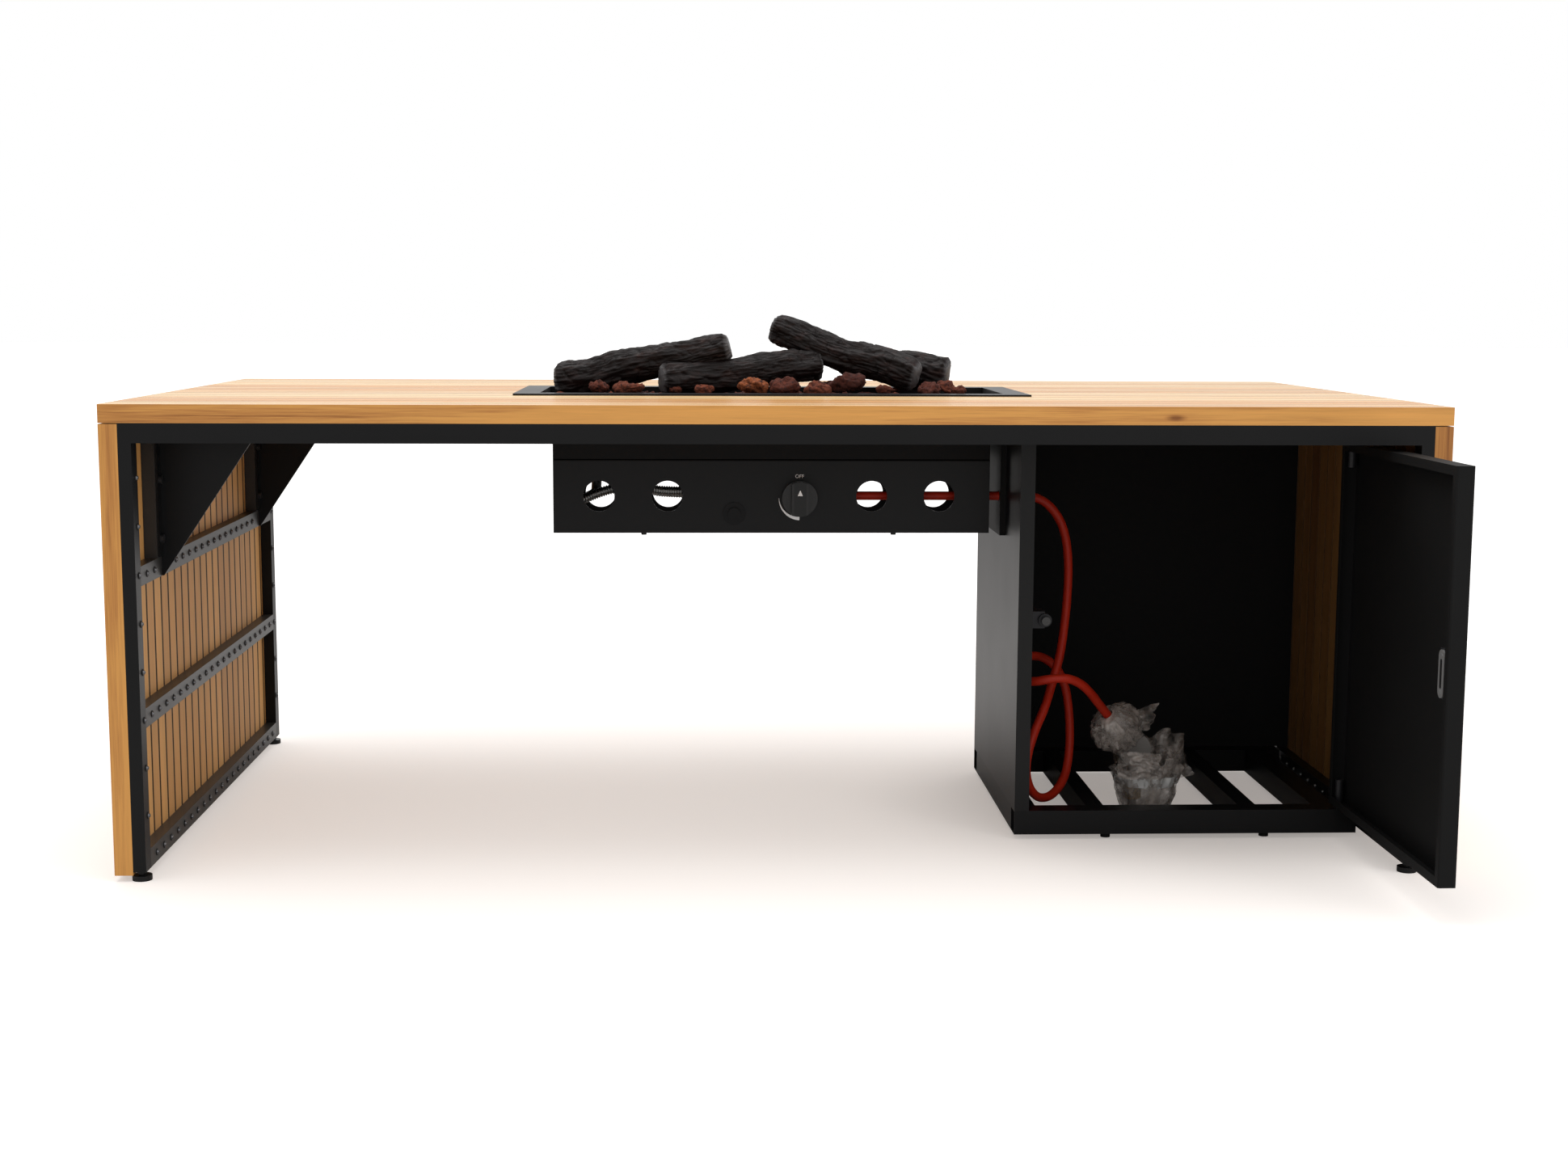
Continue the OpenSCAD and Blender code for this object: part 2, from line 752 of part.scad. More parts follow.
module control_box() {
    x0 = burner_x - housing_w/2;
    x1 = burner_x + housing_w/2;
    screw_y = fascia_y + 12;
    rear_y = fascia_y + box_back - sheet;
    y1 = fascia_y + box_d;
    color(black)
        difference() {
            union() {
                difference() {
                    block([x0, fascia_y, box_z], [x1, y1, pan_floor]);
                    block([x0 + sheet, fascia_back, box_z + sheet], [x1 - sheet, y1 + cut, pan_floor - sheet]);
                    block([x0 + sheet, fascia_y + 24, box_z - cut], [x1 - sheet, y1 + cut, box_z + sheet + cut]);
                }
                block([x0, rear_y, box_z], [x1, rear_y + sheet, pan_floor]);
            }
            for (v = vents, y = [fascia_y, rear_y]) rod_y([burner_x + v, y - cut, vent_z], vent_r, sheet + 2*cut);
            rod_y([stub_x, rear_y - cut, main_out_z - 6], main_r + pipe_clear, sheet + 2*cut);
            rod_y([knob_x, fascia_y - cut, knob_z], stem_r + 1, sheet + 2*cut);
            rod_y([igniter_x, fascia_y - cut, igniter_z], barrel_r + 0.2, sheet + 2*cut);
            rod_x([x1 - sheet - cut, hose_y, hose_z], hose_r + 2, sheet + 2*cut);
            rod_z([pilot_x, pilot_y, pan_floor - sheet - cut], pilot_r - 1.7, sheet + 2*cut);
            for (v = box_screw_x) rod_z([burner_x + v, screw_y, box_z - cut], shank_r + 0.3, sheet + 2*cut);
        }
}

box_screw_x = [-216, 206];
pipe_clear = 3.5;

module box_screws() {
    color("silver")
        for (v = box_screw_x) {
            rod_z([burner_x + v, fascia_y + 12, box_z - 4], 4.5, 4);
            rod_z([burner_x + v, fascia_y + 12, box_z - 1], shank_r, 8);
        }
}

module heat_shield() {
    z1 = top_under - 14;
    z0 = box_z - 6;
    y0 = hose_y - 20;
    y1 = table_y + 130;
    x0 = cab_x - shield_t;
    color(black)
        difference() {
            block([x0, y0, z0], [cab_x, y1, z1]);
            block([x0 + sheet, y0 + sheet, z0 + sheet], [cab_x + cut, y1 - sheet, z1 - sheet]);
            rod_x([x0 - cut, hose_y, hose_z], hose_r + 2, sheet + 2*cut);
        }
}

module gas_valve() {
    z0 = knob_z - valve_h/2;
    x0 = knob_x - valve_w/2;
    color("darkgoldenrod")
        difference() {
            union() {
                block([x0, fascia_back, z0], [valve_x1, fascia_back + valve_d, z0 + valve_h]);
                rod_x([valve_x1 - cut, hose_y, hose_z], hose_r + 2, inlet_l + cut);
                rod_x([x0 - outlet_l, main_out_y, main_out_z], main_r, outlet_l + cut);
                rod_x([x0 - outlet_l, pilot_out_y, pilot_out_z], pilot_r, outlet_l + cut);
            }
            rod_y([knob_x, fascia_back - cut, knob_z], stem_r + stem_clear, stem_in + stem_travel + cut);
        }
}

module valve_plunger() {
    color("silver")
        rod_y([knob_x, fascia_y - stem_front, knob_z], stem_r, stem_front + stem_in);
}

module control_knob() {
    y_back = fascia_y - knob_gap;
    bore_l = stem_front - knob_gap + 3;
    color(black)
        difference() {
            union() {
                rod_y([knob_x, y_back - knob_skirt, knob_z], knob_r, knob_skirt);
                intersection() {
                    block([knob_x - 14, y_back - knob_skirt - knob_grip, knob_z - knob_r],
                        [knob_x + 14, y_back - knob_skirt + cut, knob_z + knob_r]);
                    rod_y([knob_x, y_back - knob_skirt - knob_grip, knob_z], knob_r - 1, knob_grip + cut);
                }
            }
            rod_y([knob_x, y_back - bore_l, knob_z], stem_r + stem_clear, bore_l + cut);
        }
}

module igniter_body() {
    bore_l = bezel_t + button_l - button_out + button_travel + 1;
    color(black)
        difference() {
            union() {
                rod_y([igniter_x, fascia_y - bezel_t, igniter_z], bezel_r, bezel_t);
                rod_y([igniter_x, fascia_y - cut, igniter_z], barrel_r, barrel_l + cut);
            }
            rod_y([igniter_x, fascia_y - bezel_t - cut, igniter_z], button_r + button_clear, bore_l + cut);
        }
}

module igniter_button() {
    color("#2b2b2b")
        rod_y([igniter_x, fascia_y - bezel_t - button_out, igniter_z], button_r, button_l);
}

// Corrugated pipes from the valve to the burner and to the pilot, drawn at their outer size
module flex_pipes() {
    x0 = knob_x - valve_w/2 - outlet_l;
    main_path = [[x0, main_out_y, main_out_z], [x0 - 40, main_out_y, main_out_z],
        [x0 - 120, main_out_y + 4, main_out_z + 2], [x0 - 220, main_out_y + 8, main_out_z - 4],
        [stub_x + 26, main_out_y + 12, main_out_z - 9], [stub_x + 6, main_out_y + 26, main_out_z - 10],
        [stub_x, main_out_y + 50, main_out_z - 8], [stub_x, burner_y - 24, stub_z - 36],
        [stub_x, burner_y - 6, stub_z - 26], [stub_x, burner_y, stub_z - 14], [stub_x, burner_y, stub_z]];
    pilot_path = [[x0, pilot_out_y, pilot_out_z], [x0 - 30, pilot_out_y, pilot_out_z],
        [x0 - 70, pilot_out_y + 2, pilot_out_z + 4], [x0 - 120, pilot_out_y + 5, pilot_out_z + 6],
        [x0 - 190, pilot_out_y + 10, pilot_out_z + 8], [pilot_x + 30, pilot_y - 12, stub_z - 40],
        [pilot_x + 10, pilot_y - 4, stub_z - 30], [pilot_x, pilot_y, stub_z - 14], [pilot_x, pilot_y, stub_z]];
    color("silver") {
        swept(main_path, [for (p = main_path) main_r], 12, [0, 0, 1]);
        swept(pilot_path, [for (p = pilot_path) pilot_r], 10, [0, 0, 1]);
    }
}

// ---- Cabinet ----

grommet_neck = 10;

module cabinet_side() {
    z0 = base_top;
    z1 = frame_under;
    color(black)
        difference() {
            union() {
                block([cab_x, cab_y0, z0], [cab_x + sheet, cab_y1 - sheet, z1]);
                block([cab_x, cab_y0, z0], [cab_x + flange_w, cab_y0 + sheet, z1]);
                block([cab_x + flange_w - sheet, cab_y0, z0], [cab_x + flange_w, cab_y0 + sheet + lip_d, z1]);
                block([cab_x, cab_y1 - 2*sheet, z0], [cab_x + flange_w, cab_y1 - sheet, z1]);
            }
            rod_x([cab_x - cut, hose_y, hose_z], grommet_neck + 0.1, sheet + 2*cut);
        }
}

module cabinet_back() {
    color(black) block([cab_x, cab_y1 - sheet, base_top], [frame_out, cab_y1, frame_under]);
}

module hinge_post() {
    color(black) tube([post_x, cab_y0, base_top], [frame_x, cab_y0 + post_d, frame_under], 2, sheet);
}

bracket_z = door_z1 + 3;
bracket_t = 3;
bush_r = 8;
bush_gap = 0.3;

module hinge_brackets() {
    color("dimgray") {
        difference() {
            block([pivot_x - door_t/2, cab_y0 + sheet, bracket_z], [post_x, pivot_y + door_t/2 + 11,
                bracket_z + bracket_t]);
            rod_z([pivot_x, pivot_y, bracket_z - cut], pin_r + pin_clear, bracket_t + 2*cut);
        }
        difference() {
            rod_z([pivot_x, pivot_y, base_top], bush_r, door_sill - bush_gap);
            rod_z([pivot_x, pivot_y, base_top - cut], pin_r + pin_clear, door_sill + 2*cut);
        }
    }
}

module base_frame() {
    z0 = glide_h;
    z1 = base_top;
    mid0 = cab_y0 + base_w;
    mid1 = cab_y1 - base_w;
    color(black) {
        difference() {
            tube([cab_x, cab_y0, z0], [base_x1, mid0, z1], 0, sheet);
            rod_z([pivot_x, pivot_y, z1 - sheet - cut], pin_r + 0.3, sheet + 2*cut);
        }
        tube([cab_x, mid1, z0], [base_x1, cab_y1, z1], 0, sheet);
        tube([cab_x, mid0, z0], [cab_x + base_w, mid1, z1], 1, sheet);
        tube([right_tube_x, mid0, z0], [right_tube_x + base_w, mid1, z1], 1, sheet);
    }
}

module base_bars() {
    color(black)
        for (x = bar_x)
            tube([x, cab_y0 + base_w, glide_h], [x + bar_w, cab_y1 - base_w, base_top], 1, sheet);
}

module base_glides() {
    side_x = [cab_x + base_w/2, right_tube_x + base_w/2];
    side_y = [cab_y0 + glide_front, cab_y1 - glide_back];
    front_x = [cab_x + glide_in, frame_x - glide_in];
    front_back = [cab_y0 + base_w/2, cab_y1 - base_w/2];
    color("black") {
        for (x = side_x, y = side_y) rod_z([x, y, 0], glide_r, glide_h);
        for (x = front_x, y = front_back) rod_z([x, y, 0], glide_r, glide_h);
    }
}

module latch_body() {
    arm_h = 28;
    color(black)
        difference() {
            union() {
                block([cab_x + sheet, latch_body_y + 6, latch_z - arm_h/2],
                    [latch_x, latch_body_y + latch_body_l - 6, latch_z + arm_h/2]);
                rod_y([latch_x, latch_body_y, latch_z], 11, latch_body_l);
            }
            rod_y([latch_x, latch_body_y - cut, latch_z], latch_shaft_r + 0.05, latch_body_l + 2*cut);
        }
}

module latch_plunger() {
    color("silver") {
        rod_y([latch_x, latch_y0, latch_z], latch_ring_r, latch_ring_t);
        rod_y([latch_x, latch_y0, latch_z], latch_shaft_r, latch_ring_t + latch_body_l - 4);
    }
}

module hose_grommet() {
    flange_t = 2;
    color("black")
        difference() {
            union() {
                rod_x([cab_x - flange_t, hose_y, hose_z], grommet_neck, sheet + 2*flange_t);
                rod_x([cab_x - flange_t, hose_y, hose_z], grommet_neck + 3, flange_t);
                rod_x([cab_x + sheet, hose_y, hose_z], grommet_neck + 3, flange_t);
            }
            rod_x([cab_x - flange_t - cut, hose_y, hose_z], hose_r + 0.3, sheet + 2*flange_t + 2*cut);
        }
}

// ---- Hose and regulator ----

module gas_hose() {
    color("orangered") swept(hose_path, [for (p = hose_path) hose_r], 10, [0, 0, 1]);
}

module hose_tail() {
    color("gold") along(hose_end, tail_dir) cylinder(r = tail_r, h = tail_l);
}

module regulator() {
    color("silver") {
        rod_y([reg_at.x, reg_at.y - reg_t/2, reg_at.z], reg_r, reg_t);
        along(hose_end + tail_l*tail_dir, tail_dir) cylinder(r = tail_r + 1.5, h = reg_reach - tail_l - 10);
        rod_z([reg_at.x, reg_at.y, gas_nut_z + gas_nut_h], spigot_r + 1, reg_at.z - gas_nut_z - gas_nut_h);
        rod_z([reg_at.x, reg_at.y, spigot_z], spigot_r, gas_nut_z + gas_nut_h - spigot_z + cut);
    }
}

module regulator_nut() {
    color("gold")
        difference() {
            translate([reg_at.x, reg_at.y, gas_nut_z]) cylinder(r = 16, h = gas_nut_h, $fn = 6);
            rod_z([reg_at.x, reg_at.y, gas_nut_z - cut], spigot_r + 0.05, gas_nut_h + 2*cut);
        }
}

// Bubble wrap: a crumpled cup round the regulator and a collar round the hose's tail
module bubble_wrap() {
    floor_t = 5;
    cup_h = 118;
    cup_wall = 6;
    back = 18;
    fit = 0.3;
    color("gainsboro") {
        translate([wrap_at.x, wrap_at.y, 0]) rotate_extrude()
            polygon([[0, 0], [42, 0], [70, cup_h], [70 - cup_wall, cup_h], [43 - cup_wall, floor_t],
                [0, floor_t]]);
        along(hose_end - back*tail_dir, tail_dir) rotate_extrude()
            polygon([[hose_r + 3.5, 0], [24, 0], [34, 16], [32, 34], [22, back + tail_l - 0.5],
                [tail_r + fit, back + tail_l - 0.5], [tail_r + fit, back], [hose_r + 3.5, back]]);
    }
}

// ---- Door ----

// A block whose four upright edges are rounded
module rounded_block(low, high, r) {
    size = high - low;
    translate(low) linear_extrude(size.z) {
        translate([r, 0]) square([size.x - 2*r, size.y]);
        translate([0, r]) square([size.x, size.y - 2*r]);
        for (x = [r, size.x - r], y = [r, size.y - r]) translate([x, y]) circle(r);
    }
}

module door_shell() {
    x0 = pivot_x - door_t/2;
    x1 = pivot_x + door_t/2;
    y1 = pivot_y + door_t/2;
    y0 = y1 - door_w;
    color(black)
        difference() {
            rounded_block([x0, y0, door_z0], [x1, y1, door_z1], 3);
            block([x0 + door_skin, y0 + door_skin, door_z0 + door_skin],
                [x1 - door_skin, y1 - door_skin, door_z1 - door_skin]);
            block([x0 - cut, y0 + door_lip, door_z0 + door_lip],
                [x0 + door_skin + cut, y1 - door_lip, door_z1 - door_lip]);
            rod_z([pivot_x, pivot_y, door_z0 - cut], pin_r + pin_clear, door_skin + 2*cut);
            rod_z([pivot_x, pivot_y, door_z1 - door_skin - cut], pin_r + pin_clear, door_skin + 2*cut);
        }
}

module hinge_pins() {
    barrel = 40;
    top_in = door_z1 - door_skin;
    low_in = door_z0 + door_skin;
    tip = bracket_z + bracket_t + 5;
    color("silver") {
        rod_z([pivot_x, pivot_y, top_in - barrel], pin_r + 2.5, barrel);
        rod_z([pivot_x, pivot_y, top_in - cut], pin_r, tip - top_in + cut);
        rod_z([pivot_x, pivot_y, door_z1], pin_r + 3, bracket_z - door_z1 - 0.3);
        block([pivot_x - 9, pivot_y - 2, tip - 3], [pivot_x + 5, pivot_y + 2, tip]);
        rod_z([pivot_x, pivot_y, low_in], pin_r + 2.5, barrel);
        rod_z([pivot_x, pivot_y, base_top - 9], pin_r, low_in - base_top + 10);
    }
}

strike_block_w = 23;
strike_w = 16;
strike_h = 66;

module strike_block() {
    x1 = pivot_x + door_t/2 - door_skin;
    x0 = pivot_x - door_t/2 + strike_t - 1;
    y0 = strike_y - strike_w/2 - 0.5;
    color("dimgray") block([x0, y0, latch_z - strike_h/2 - 3], [x1, y0 + strike_block_w, latch_z + strike_h/2 + 3]);
}

module strike_plate() {
    x0 = pivot_x - door_t/2 - 1;
    slot_w = 4;
    slot_h = 44;
    color("silver")
        difference() {
            block([x0, strike_y - strike_w/2, latch_z - strike_h/2],
                [x0 + strike_t, strike_y + strike_w/2, latch_z + strike_h/2]);
            block([x0 - cut, strike_y - slot_w/2 - 4, latch_z - slot_h/2],
                [x0 + 1, strike_y + slot_w/2 - 4, latch_z + slot_h/2]);
        }
}

// ---- Levelling feet ----

module foot(side, y) {
    x = side*(frame_x + tube_t/2);
    nut_z = foot_t + 1;
    nut_h = post_lift - 0.3 - nut_z;
    color("black") {
        rod_z([x, y, 0], foot_r, foot_t);
        rod_z([x, y, foot_t - cut], stud_r, stud_l + cut);
        translate([x, y, nut_z]) cylinder(r = nut_r, h = nut_h, $fn = 6);
    }
}

module foot_front_left() {
    foot(-1, front_y + tube_w/2);
}

module foot_front_right() {
    foot(1, front_y + tube_w/2);
}

module foot_back_left() {
    foot(-1, back_y - tube_w/2);
}

module foot_back_right() {
    foot(1, back_y - tube_w/2);
}

top_slats_front();
top_slats_back();
top_slats_left();
top_slats_right();
left_panel_slats();
right_panel_slats();
left_posts();
left_rails();
left_panel_screws();
right_posts();
right_rails();
right_panel_screws();
front_apron();
back_apron();
cross_rails();
top_screws();
gussets();
gusset_bolts();
burner_rim();
burner_pan();
burner_deck();
burner_tube();
pilot_burner();
lava_rocks();
left_log();
centre_log();
crossing_log();
back_log();
control_box();
box_screws();
heat_shield();
gas_valve();
igniter_body();
flex_pipes();
cabinet_side();
cabinet_back();
hinge_post();
hinge_brackets();
base_frame();
base_bars();
base_glides();
latch_body();
hose_grommet();
gas_hose();
hose_tail();
regulator();
regulator_nut();
bubble_wrap();
door_shell();
hinge_pins();
strike_block();
strike_plate();
latch_plunger();
valve_plunger();
control_knob();
igniter_button();
foot_front_left();
foot_front_right();
foot_back_left();
foot_back_right();
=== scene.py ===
# %% [markdown]
# A fire pit table. The CAD model has every piece at its true size and place, so this file gives
# them their looks: teak with grain, powder-coated steel, charred logs, porous lava stones, a
# rubber hose and crumpled film. Each step says what the real thing is, how it could be made,
# and why it was made this way.

# %% Tools and frame
import json
import random
from math import cos, hypot, pi, radians, sin

import bpy
from mathutils import Euler, Matrix, Vector, noise

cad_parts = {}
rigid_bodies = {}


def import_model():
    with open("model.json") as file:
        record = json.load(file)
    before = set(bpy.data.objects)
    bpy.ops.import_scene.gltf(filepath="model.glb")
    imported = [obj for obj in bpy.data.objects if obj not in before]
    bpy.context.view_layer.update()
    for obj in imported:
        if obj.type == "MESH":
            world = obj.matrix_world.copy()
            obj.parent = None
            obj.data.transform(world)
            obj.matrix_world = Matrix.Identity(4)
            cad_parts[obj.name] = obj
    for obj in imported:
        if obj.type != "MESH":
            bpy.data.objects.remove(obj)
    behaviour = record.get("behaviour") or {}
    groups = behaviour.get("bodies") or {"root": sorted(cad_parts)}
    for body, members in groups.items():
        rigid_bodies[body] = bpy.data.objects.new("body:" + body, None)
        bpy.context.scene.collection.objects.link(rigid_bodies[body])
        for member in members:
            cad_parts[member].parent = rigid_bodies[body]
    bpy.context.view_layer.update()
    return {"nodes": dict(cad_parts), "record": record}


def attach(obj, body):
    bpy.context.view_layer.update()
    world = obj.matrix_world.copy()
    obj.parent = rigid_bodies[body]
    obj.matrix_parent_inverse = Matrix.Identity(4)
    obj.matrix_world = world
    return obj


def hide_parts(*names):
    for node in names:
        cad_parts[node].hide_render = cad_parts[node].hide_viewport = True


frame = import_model()
nodes = frame["nodes"]

# %% [markdown]
# The camera stands at hip height, a little left of the table's middle, and looks slightly down. A
# constraint could aim it, but three angles and a place say exactly how it stands, and they can be
# changed one at a time.

# %% Camera
EYE = Vector((-0.1340, -3.5873, 0.8822))
YAW = 0.04184
PITCH = 0.1334
ROLL = 0.004517
SENSOR = 36.0
FOCAL_IN_WIDTHS = 2635.85 / 1940
CLIP_END = 200


def add_object(name, data):
    obj = bpy.data.objects.new(name, data)
    bpy.context.scene.collection.objects.link(obj)
    return obj


forward = Vector((sin(YAW) * cos(PITCH), cos(YAW) * cos(PITCH), -sin(PITCH)))
level_right = Vector((cos(YAW), -sin(YAW), 0))
level_up = level_right.cross(forward)
right = cos(ROLL) * level_right + sin(ROLL) * level_up
up = cos(ROLL) * level_up - sin(ROLL) * level_right
lens = bpy.data.cameras.new("camera")
lens.sensor_width = SENSOR
lens.lens = SENSOR * FOCAL_IN_WIDTHS
lens.clip_end = CLIP_END
camera = add_object("camera", lens)
axes = Matrix((right, up, -forward)).transposed()
camera.matrix_world = Matrix.Translation(EYE) @ axes.to_4x4()
bpy.context.scene.camera = camera
print("lens", round(lens.lens, 2), "mm")

# %% [markdown]
# Most of what a node tree does is sums. A small class holds one socket and turns Python's
# operators into Math nodes, so a mask reads as a sum. A second class holds the tree and adds nodes
# from their type, inputs and settings. Shaders are its first use.


# %% Node helpers
def operator(operation, swapped=False):
    """A method that stands for one of Python's operators and adds a Math node."""
    def method(self, *other):
        return self.tree.maths(operation, *((*other, self) if swapped else (self, *other)))
    return method


class Val:
    """One socket of a node tree. The operators add Math nodes."""

    def __init__(self, tree, socket):
        self.tree = tree
        self.socket = socket

    __add__, __radd__ = operator("ADD"), operator("ADD", swapped=True)
    __sub__, __rsub__ = operator("SUBTRACT"), operator("SUBTRACT", swapped=True)
    __mul__, __rmul__ = operator("MULTIPLY"), operator("MULTIPLY", swapped=True)
    __truediv__ = operator("DIVIDE")
    __abs__ = operator("ABSOLUTE")
    __gt__ = operator("GREATER_THAN")
    __lt__ = operator("LESS_THAN")
    floor = operator("FLOOR")


class Tree:
    """A node tree that is built from expressions."""

    def add(self, kind, inputs=None, out=0, **settings):
        made = self.tree.nodes.new(kind)
        for key, value in settings.items():
            setattr(made, key, value)
        for key, value in (inputs or {}).items():
            for item in value if isinstance(value, list) else [value]:
                if isinstance(item, Val):
                    self.tree.links.new(item.socket, made.inputs[key])
                else:
                    made.inputs[key].default_value = item
        return Val(self, made.outputs[out])

    def maths(self, operation, *values):
        return self.add("ShaderNodeMath", dict(enumerate(values)), operation=operation)

    def vector(self, x, y, z):
        return self.add("ShaderNodeCombineXYZ", {0: x, 1: y, 2: z})


def rgba(colour):
    return colour if isinstance(colour, Val) else (*colour, 1.0)


class Shader(Tree):
    """The node tree of a new material, or of another owner."""

    def __init__(self, name, owner=None):
        self.owner = owner or bpy.data.materials.new(name)
        self.owner.use_nodes = True
        self.tree = self.owner.node_tree
        self.tree.nodes.clear()

    def distance(self, x, y):
        return self.maths("SQRT", x * x + y * y)

    def between(self, value, low, high, rise="LINEAR"):
        """0 below the low value, 1 above the high one."""
        return self.add("ShaderNodeMapRange", {"Value": value, "From Min": low, "From Max": high},
                        interpolation_type=rise)

    def mix(self, factor, a, b, blend="MIX"):
        return self.add("ShaderNodeMix", {0: factor, 6: rgba(a), 7: rgba(b)}, 2,
                        data_type="RGBA", blend_type=blend)

    def ramp(self, factor, stops):
        colours = self.add("ShaderNodeValToRGB", {"Fac": factor})
        elements = colours.socket.node.color_ramp.elements
        while len(elements) < len(stops):
            elements.new(1.0)
        for element, (place, colour) in zip(elements, stops):
            element.position = place
            element.color = rgba(colour)
        return colours

    def place(self):
        return self.add("ShaderNodeTexCoord", out="Object")

    def xyz(self, vector):
        return [self.add("ShaderNodeSeparateXYZ", {0: vector}, axis) for axis in range(3)]

    def noise(self, vector, scale=1.0, detail=3.0, rough=0.5):
        return self.add("ShaderNodeTexNoise", {"Vector": vector, "Scale": scale,
                                               "Detail": detail, "Roughness": rough})

    def cells(self, vector, scale):
        return self.add("ShaderNodeTexVoronoi", {"Vector": vector, "Scale": scale},
                        feature="SMOOTH_F1")

    def attribute(self, name):
        return self.add("ShaderNodeAttribute", out="Fac", attribute_name=name)

    def bump(self, height, depth, strength):
        return self.add("ShaderNodeBump", {"Height": height, "Distance": depth,
                                           "Strength": strength})

    def end(self, surface, kind="ShaderNodeOutputMaterial"):
        output = self.tree.nodes.new(kind)
        self.tree.links.new(surface.socket, output.inputs["Surface"])
        return self.owner

    def finish(self, base, roughness, **extra):
        """Ends in a Principled BSDF. Extra inputs have _ for the spaces in their names."""
        inputs = {"Base Color": rgba(base), "Roughness": roughness}
        inputs.update({key.replace("_", " "): value for key, value in extra.items()})
        return self.end(self.add("ShaderNodeBsdfPrincipled", inputs))


def paint(obj, *materials):
    obj.data.materials.clear()
    for material in materials:
        obj.data.materials.append(material)


def add_mesh(name, points, faces, smooth=False, edges=()):
    mesh = bpy.data.meshes.new(name)
    mesh.from_pydata([tuple(p) for p in points], edges, faces)
    mesh.update()
    if smooth:
        mesh.shade_smooth()
    return add_object(name, mesh)


def final_mesh(obj):
    """A copy of the object's mesh with its modifiers or its letters worked out."""
    graph = bpy.context.evaluated_depsgraph_get()
    return bpy.data.meshes.new_from_object(obj.evaluated_get(graph))


def store(obj, label, values):
    """Keeps one number for each vertex, for a node tree to read."""
    obj.data.attributes.new(label, "FLOAT", "POINT").data.foreach_set("value", values)


def mm(*values):
    return Vector([value / 1000 for value in values])


def scaled(colour, share):
    return tuple(c * share for c in colour)


print("helpers ready")

# %% [markdown]
# A curve with a bevel would do, but the same sweep also makes the logs: rings of points carried
# along a path without twisting.


# %% Sweeping rings along a path
def smooth_path(points, per_span):
    """Catmull-Rom through the points, so the path passes each of them."""
    padded = [2 * points[0] - points[1], *points, 2 * points[-1] - points[-2]]
    path = []
    for a, b, c, d in zip(padded, padded[1:], padded[2:], padded[3:]):
        for step in range(per_span):
            t = step / per_span
            path.append(0.5 * (2 * b + (c - a) * t + (2 * a - 5 * b + 4 * c - d) * t * t
                               + (3 * b - a - 3 * c + d) * t * t * t))
    return [*path, points[-1]]


def carried_frames(path):
    """Two directions across the path at each point, turned as little as possible."""
    frames = []
    across = Vector((0, 0, 1))
    for i, point in enumerate(path):
        ahead = path[min(i + 1, len(path) - 1)] - path[max(i - 1, 0)]
        ahead.normalize()
        across = (across - across.dot(ahead) * ahead).normalized()
        frames.append((across, ahead.cross(across)))
    return frames


def grid_faces(rows, columns, closed=True):
    """Quads between rows of points. In a closed grid the last column joins the first."""
    pairs = [(j, (j + 1) % columns) for j in range(columns if closed else columns - 1)]
    return [(i + j, i + k, i + columns + k, i + columns + j)
            for i in range(0, (rows - 1) * columns, columns) for j, k in pairs]


def sweep(name, path, radius, sides):
    """A tube with flat ends along the path. radius is a function of the ring and the angle."""
    points = []
    for i, (point, (u, v)) in enumerate(zip(path, carried_frames(path))):
        for j in range(sides):
            angle = 2 * pi * j / sides
            points.append(point + radius(i, angle) * (cos(angle) * u + sin(angle) * v))
    last = (len(path) - 1) * sides
    ends = [tuple(reversed(range(sides))), tuple(range(last, last + sides))]
    return add_mesh(name, points, grid_faces(len(path), sides) + ends, smooth=True)


print("sweep ready")

# %% [markdown]
# The hose is orange-red rubber, 15 mm thick. It leaves the valve, crosses the cabinet side through
# a grommet, drops to the floor, makes one loop and climbs to the regulator. A curve through points
# about 40 mm apart has the bends that such a hose takes.

# %% Gas hose
HOSE_R = 0.0075
HOSE_SIDES = 20
STEPS_PER_SPAN = 5
HOSE_ROUTE = [
    (78, 22, 556), (150, 22, 556), (260, 22, 556), (360, 22, 556), (405, 22, 556), (439, 22, 555),
    (467, 23, 542), (489, 24, 515), (501, 23, 479), (505, 19, 436), (503, 11, 386), (497, -2, 337),
    (487, -21, 288), (471, -44, 243), (454, -70, 204), (436, -92, 172), (423, -107, 139),
    (419, -110, 105), (427, -102, 75), (444, -84, 55), (465, -62, 50), (485, -38, 58),
    (501, -16, 77), (510, 3, 105), (514, 18, 143), (513, 28, 183), (507, 34, 221), (492, 35, 254),
    (465, 28, 275), (434, 12, 279), (411, -11, 271), (403, -42, 259), (411, -72, 253),
    (433, -95, 255), (462, -104, 261), (489, -100, 260), (513, -88, 248), (533, -70, 229),
    (548, -51, 211), (562, -36, 194), (576, -25, 177)]

hose_path = smooth_path([mm(*point) for point in HOSE_ROUTE], STEPS_PER_SPAN)
hose = sweep("hose", hose_path, lambda i, angle: HOSE_R, HOSE_SIDES)
hose_length = sum((b - a).length for a, b in zip(hose_path, hose_path[1:]))
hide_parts("gas_hose")
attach(hose, "table")
print("hose", round(hose_length, 3), "m,", len(hose_path), "rings")

# %% [markdown]
# Rubber hose has a soft sheen and picks up dust. A little noise in the colour and the roughness is
# enough, since the hose is only 15 mm thick and seen from three metres.

# %% Hose rubber
shader = Shader("hose rubber")
dust = shader.noise(shader.place(), 60, 4)
paint(hose, shader.finish(shader.mix(dust, (0.38, 0.012, 0.003), (0.50, 0.026, 0.007)),
                          0.34 + dust * 0.25, Specular_IOR_Level=0.25))
print("hose painted")

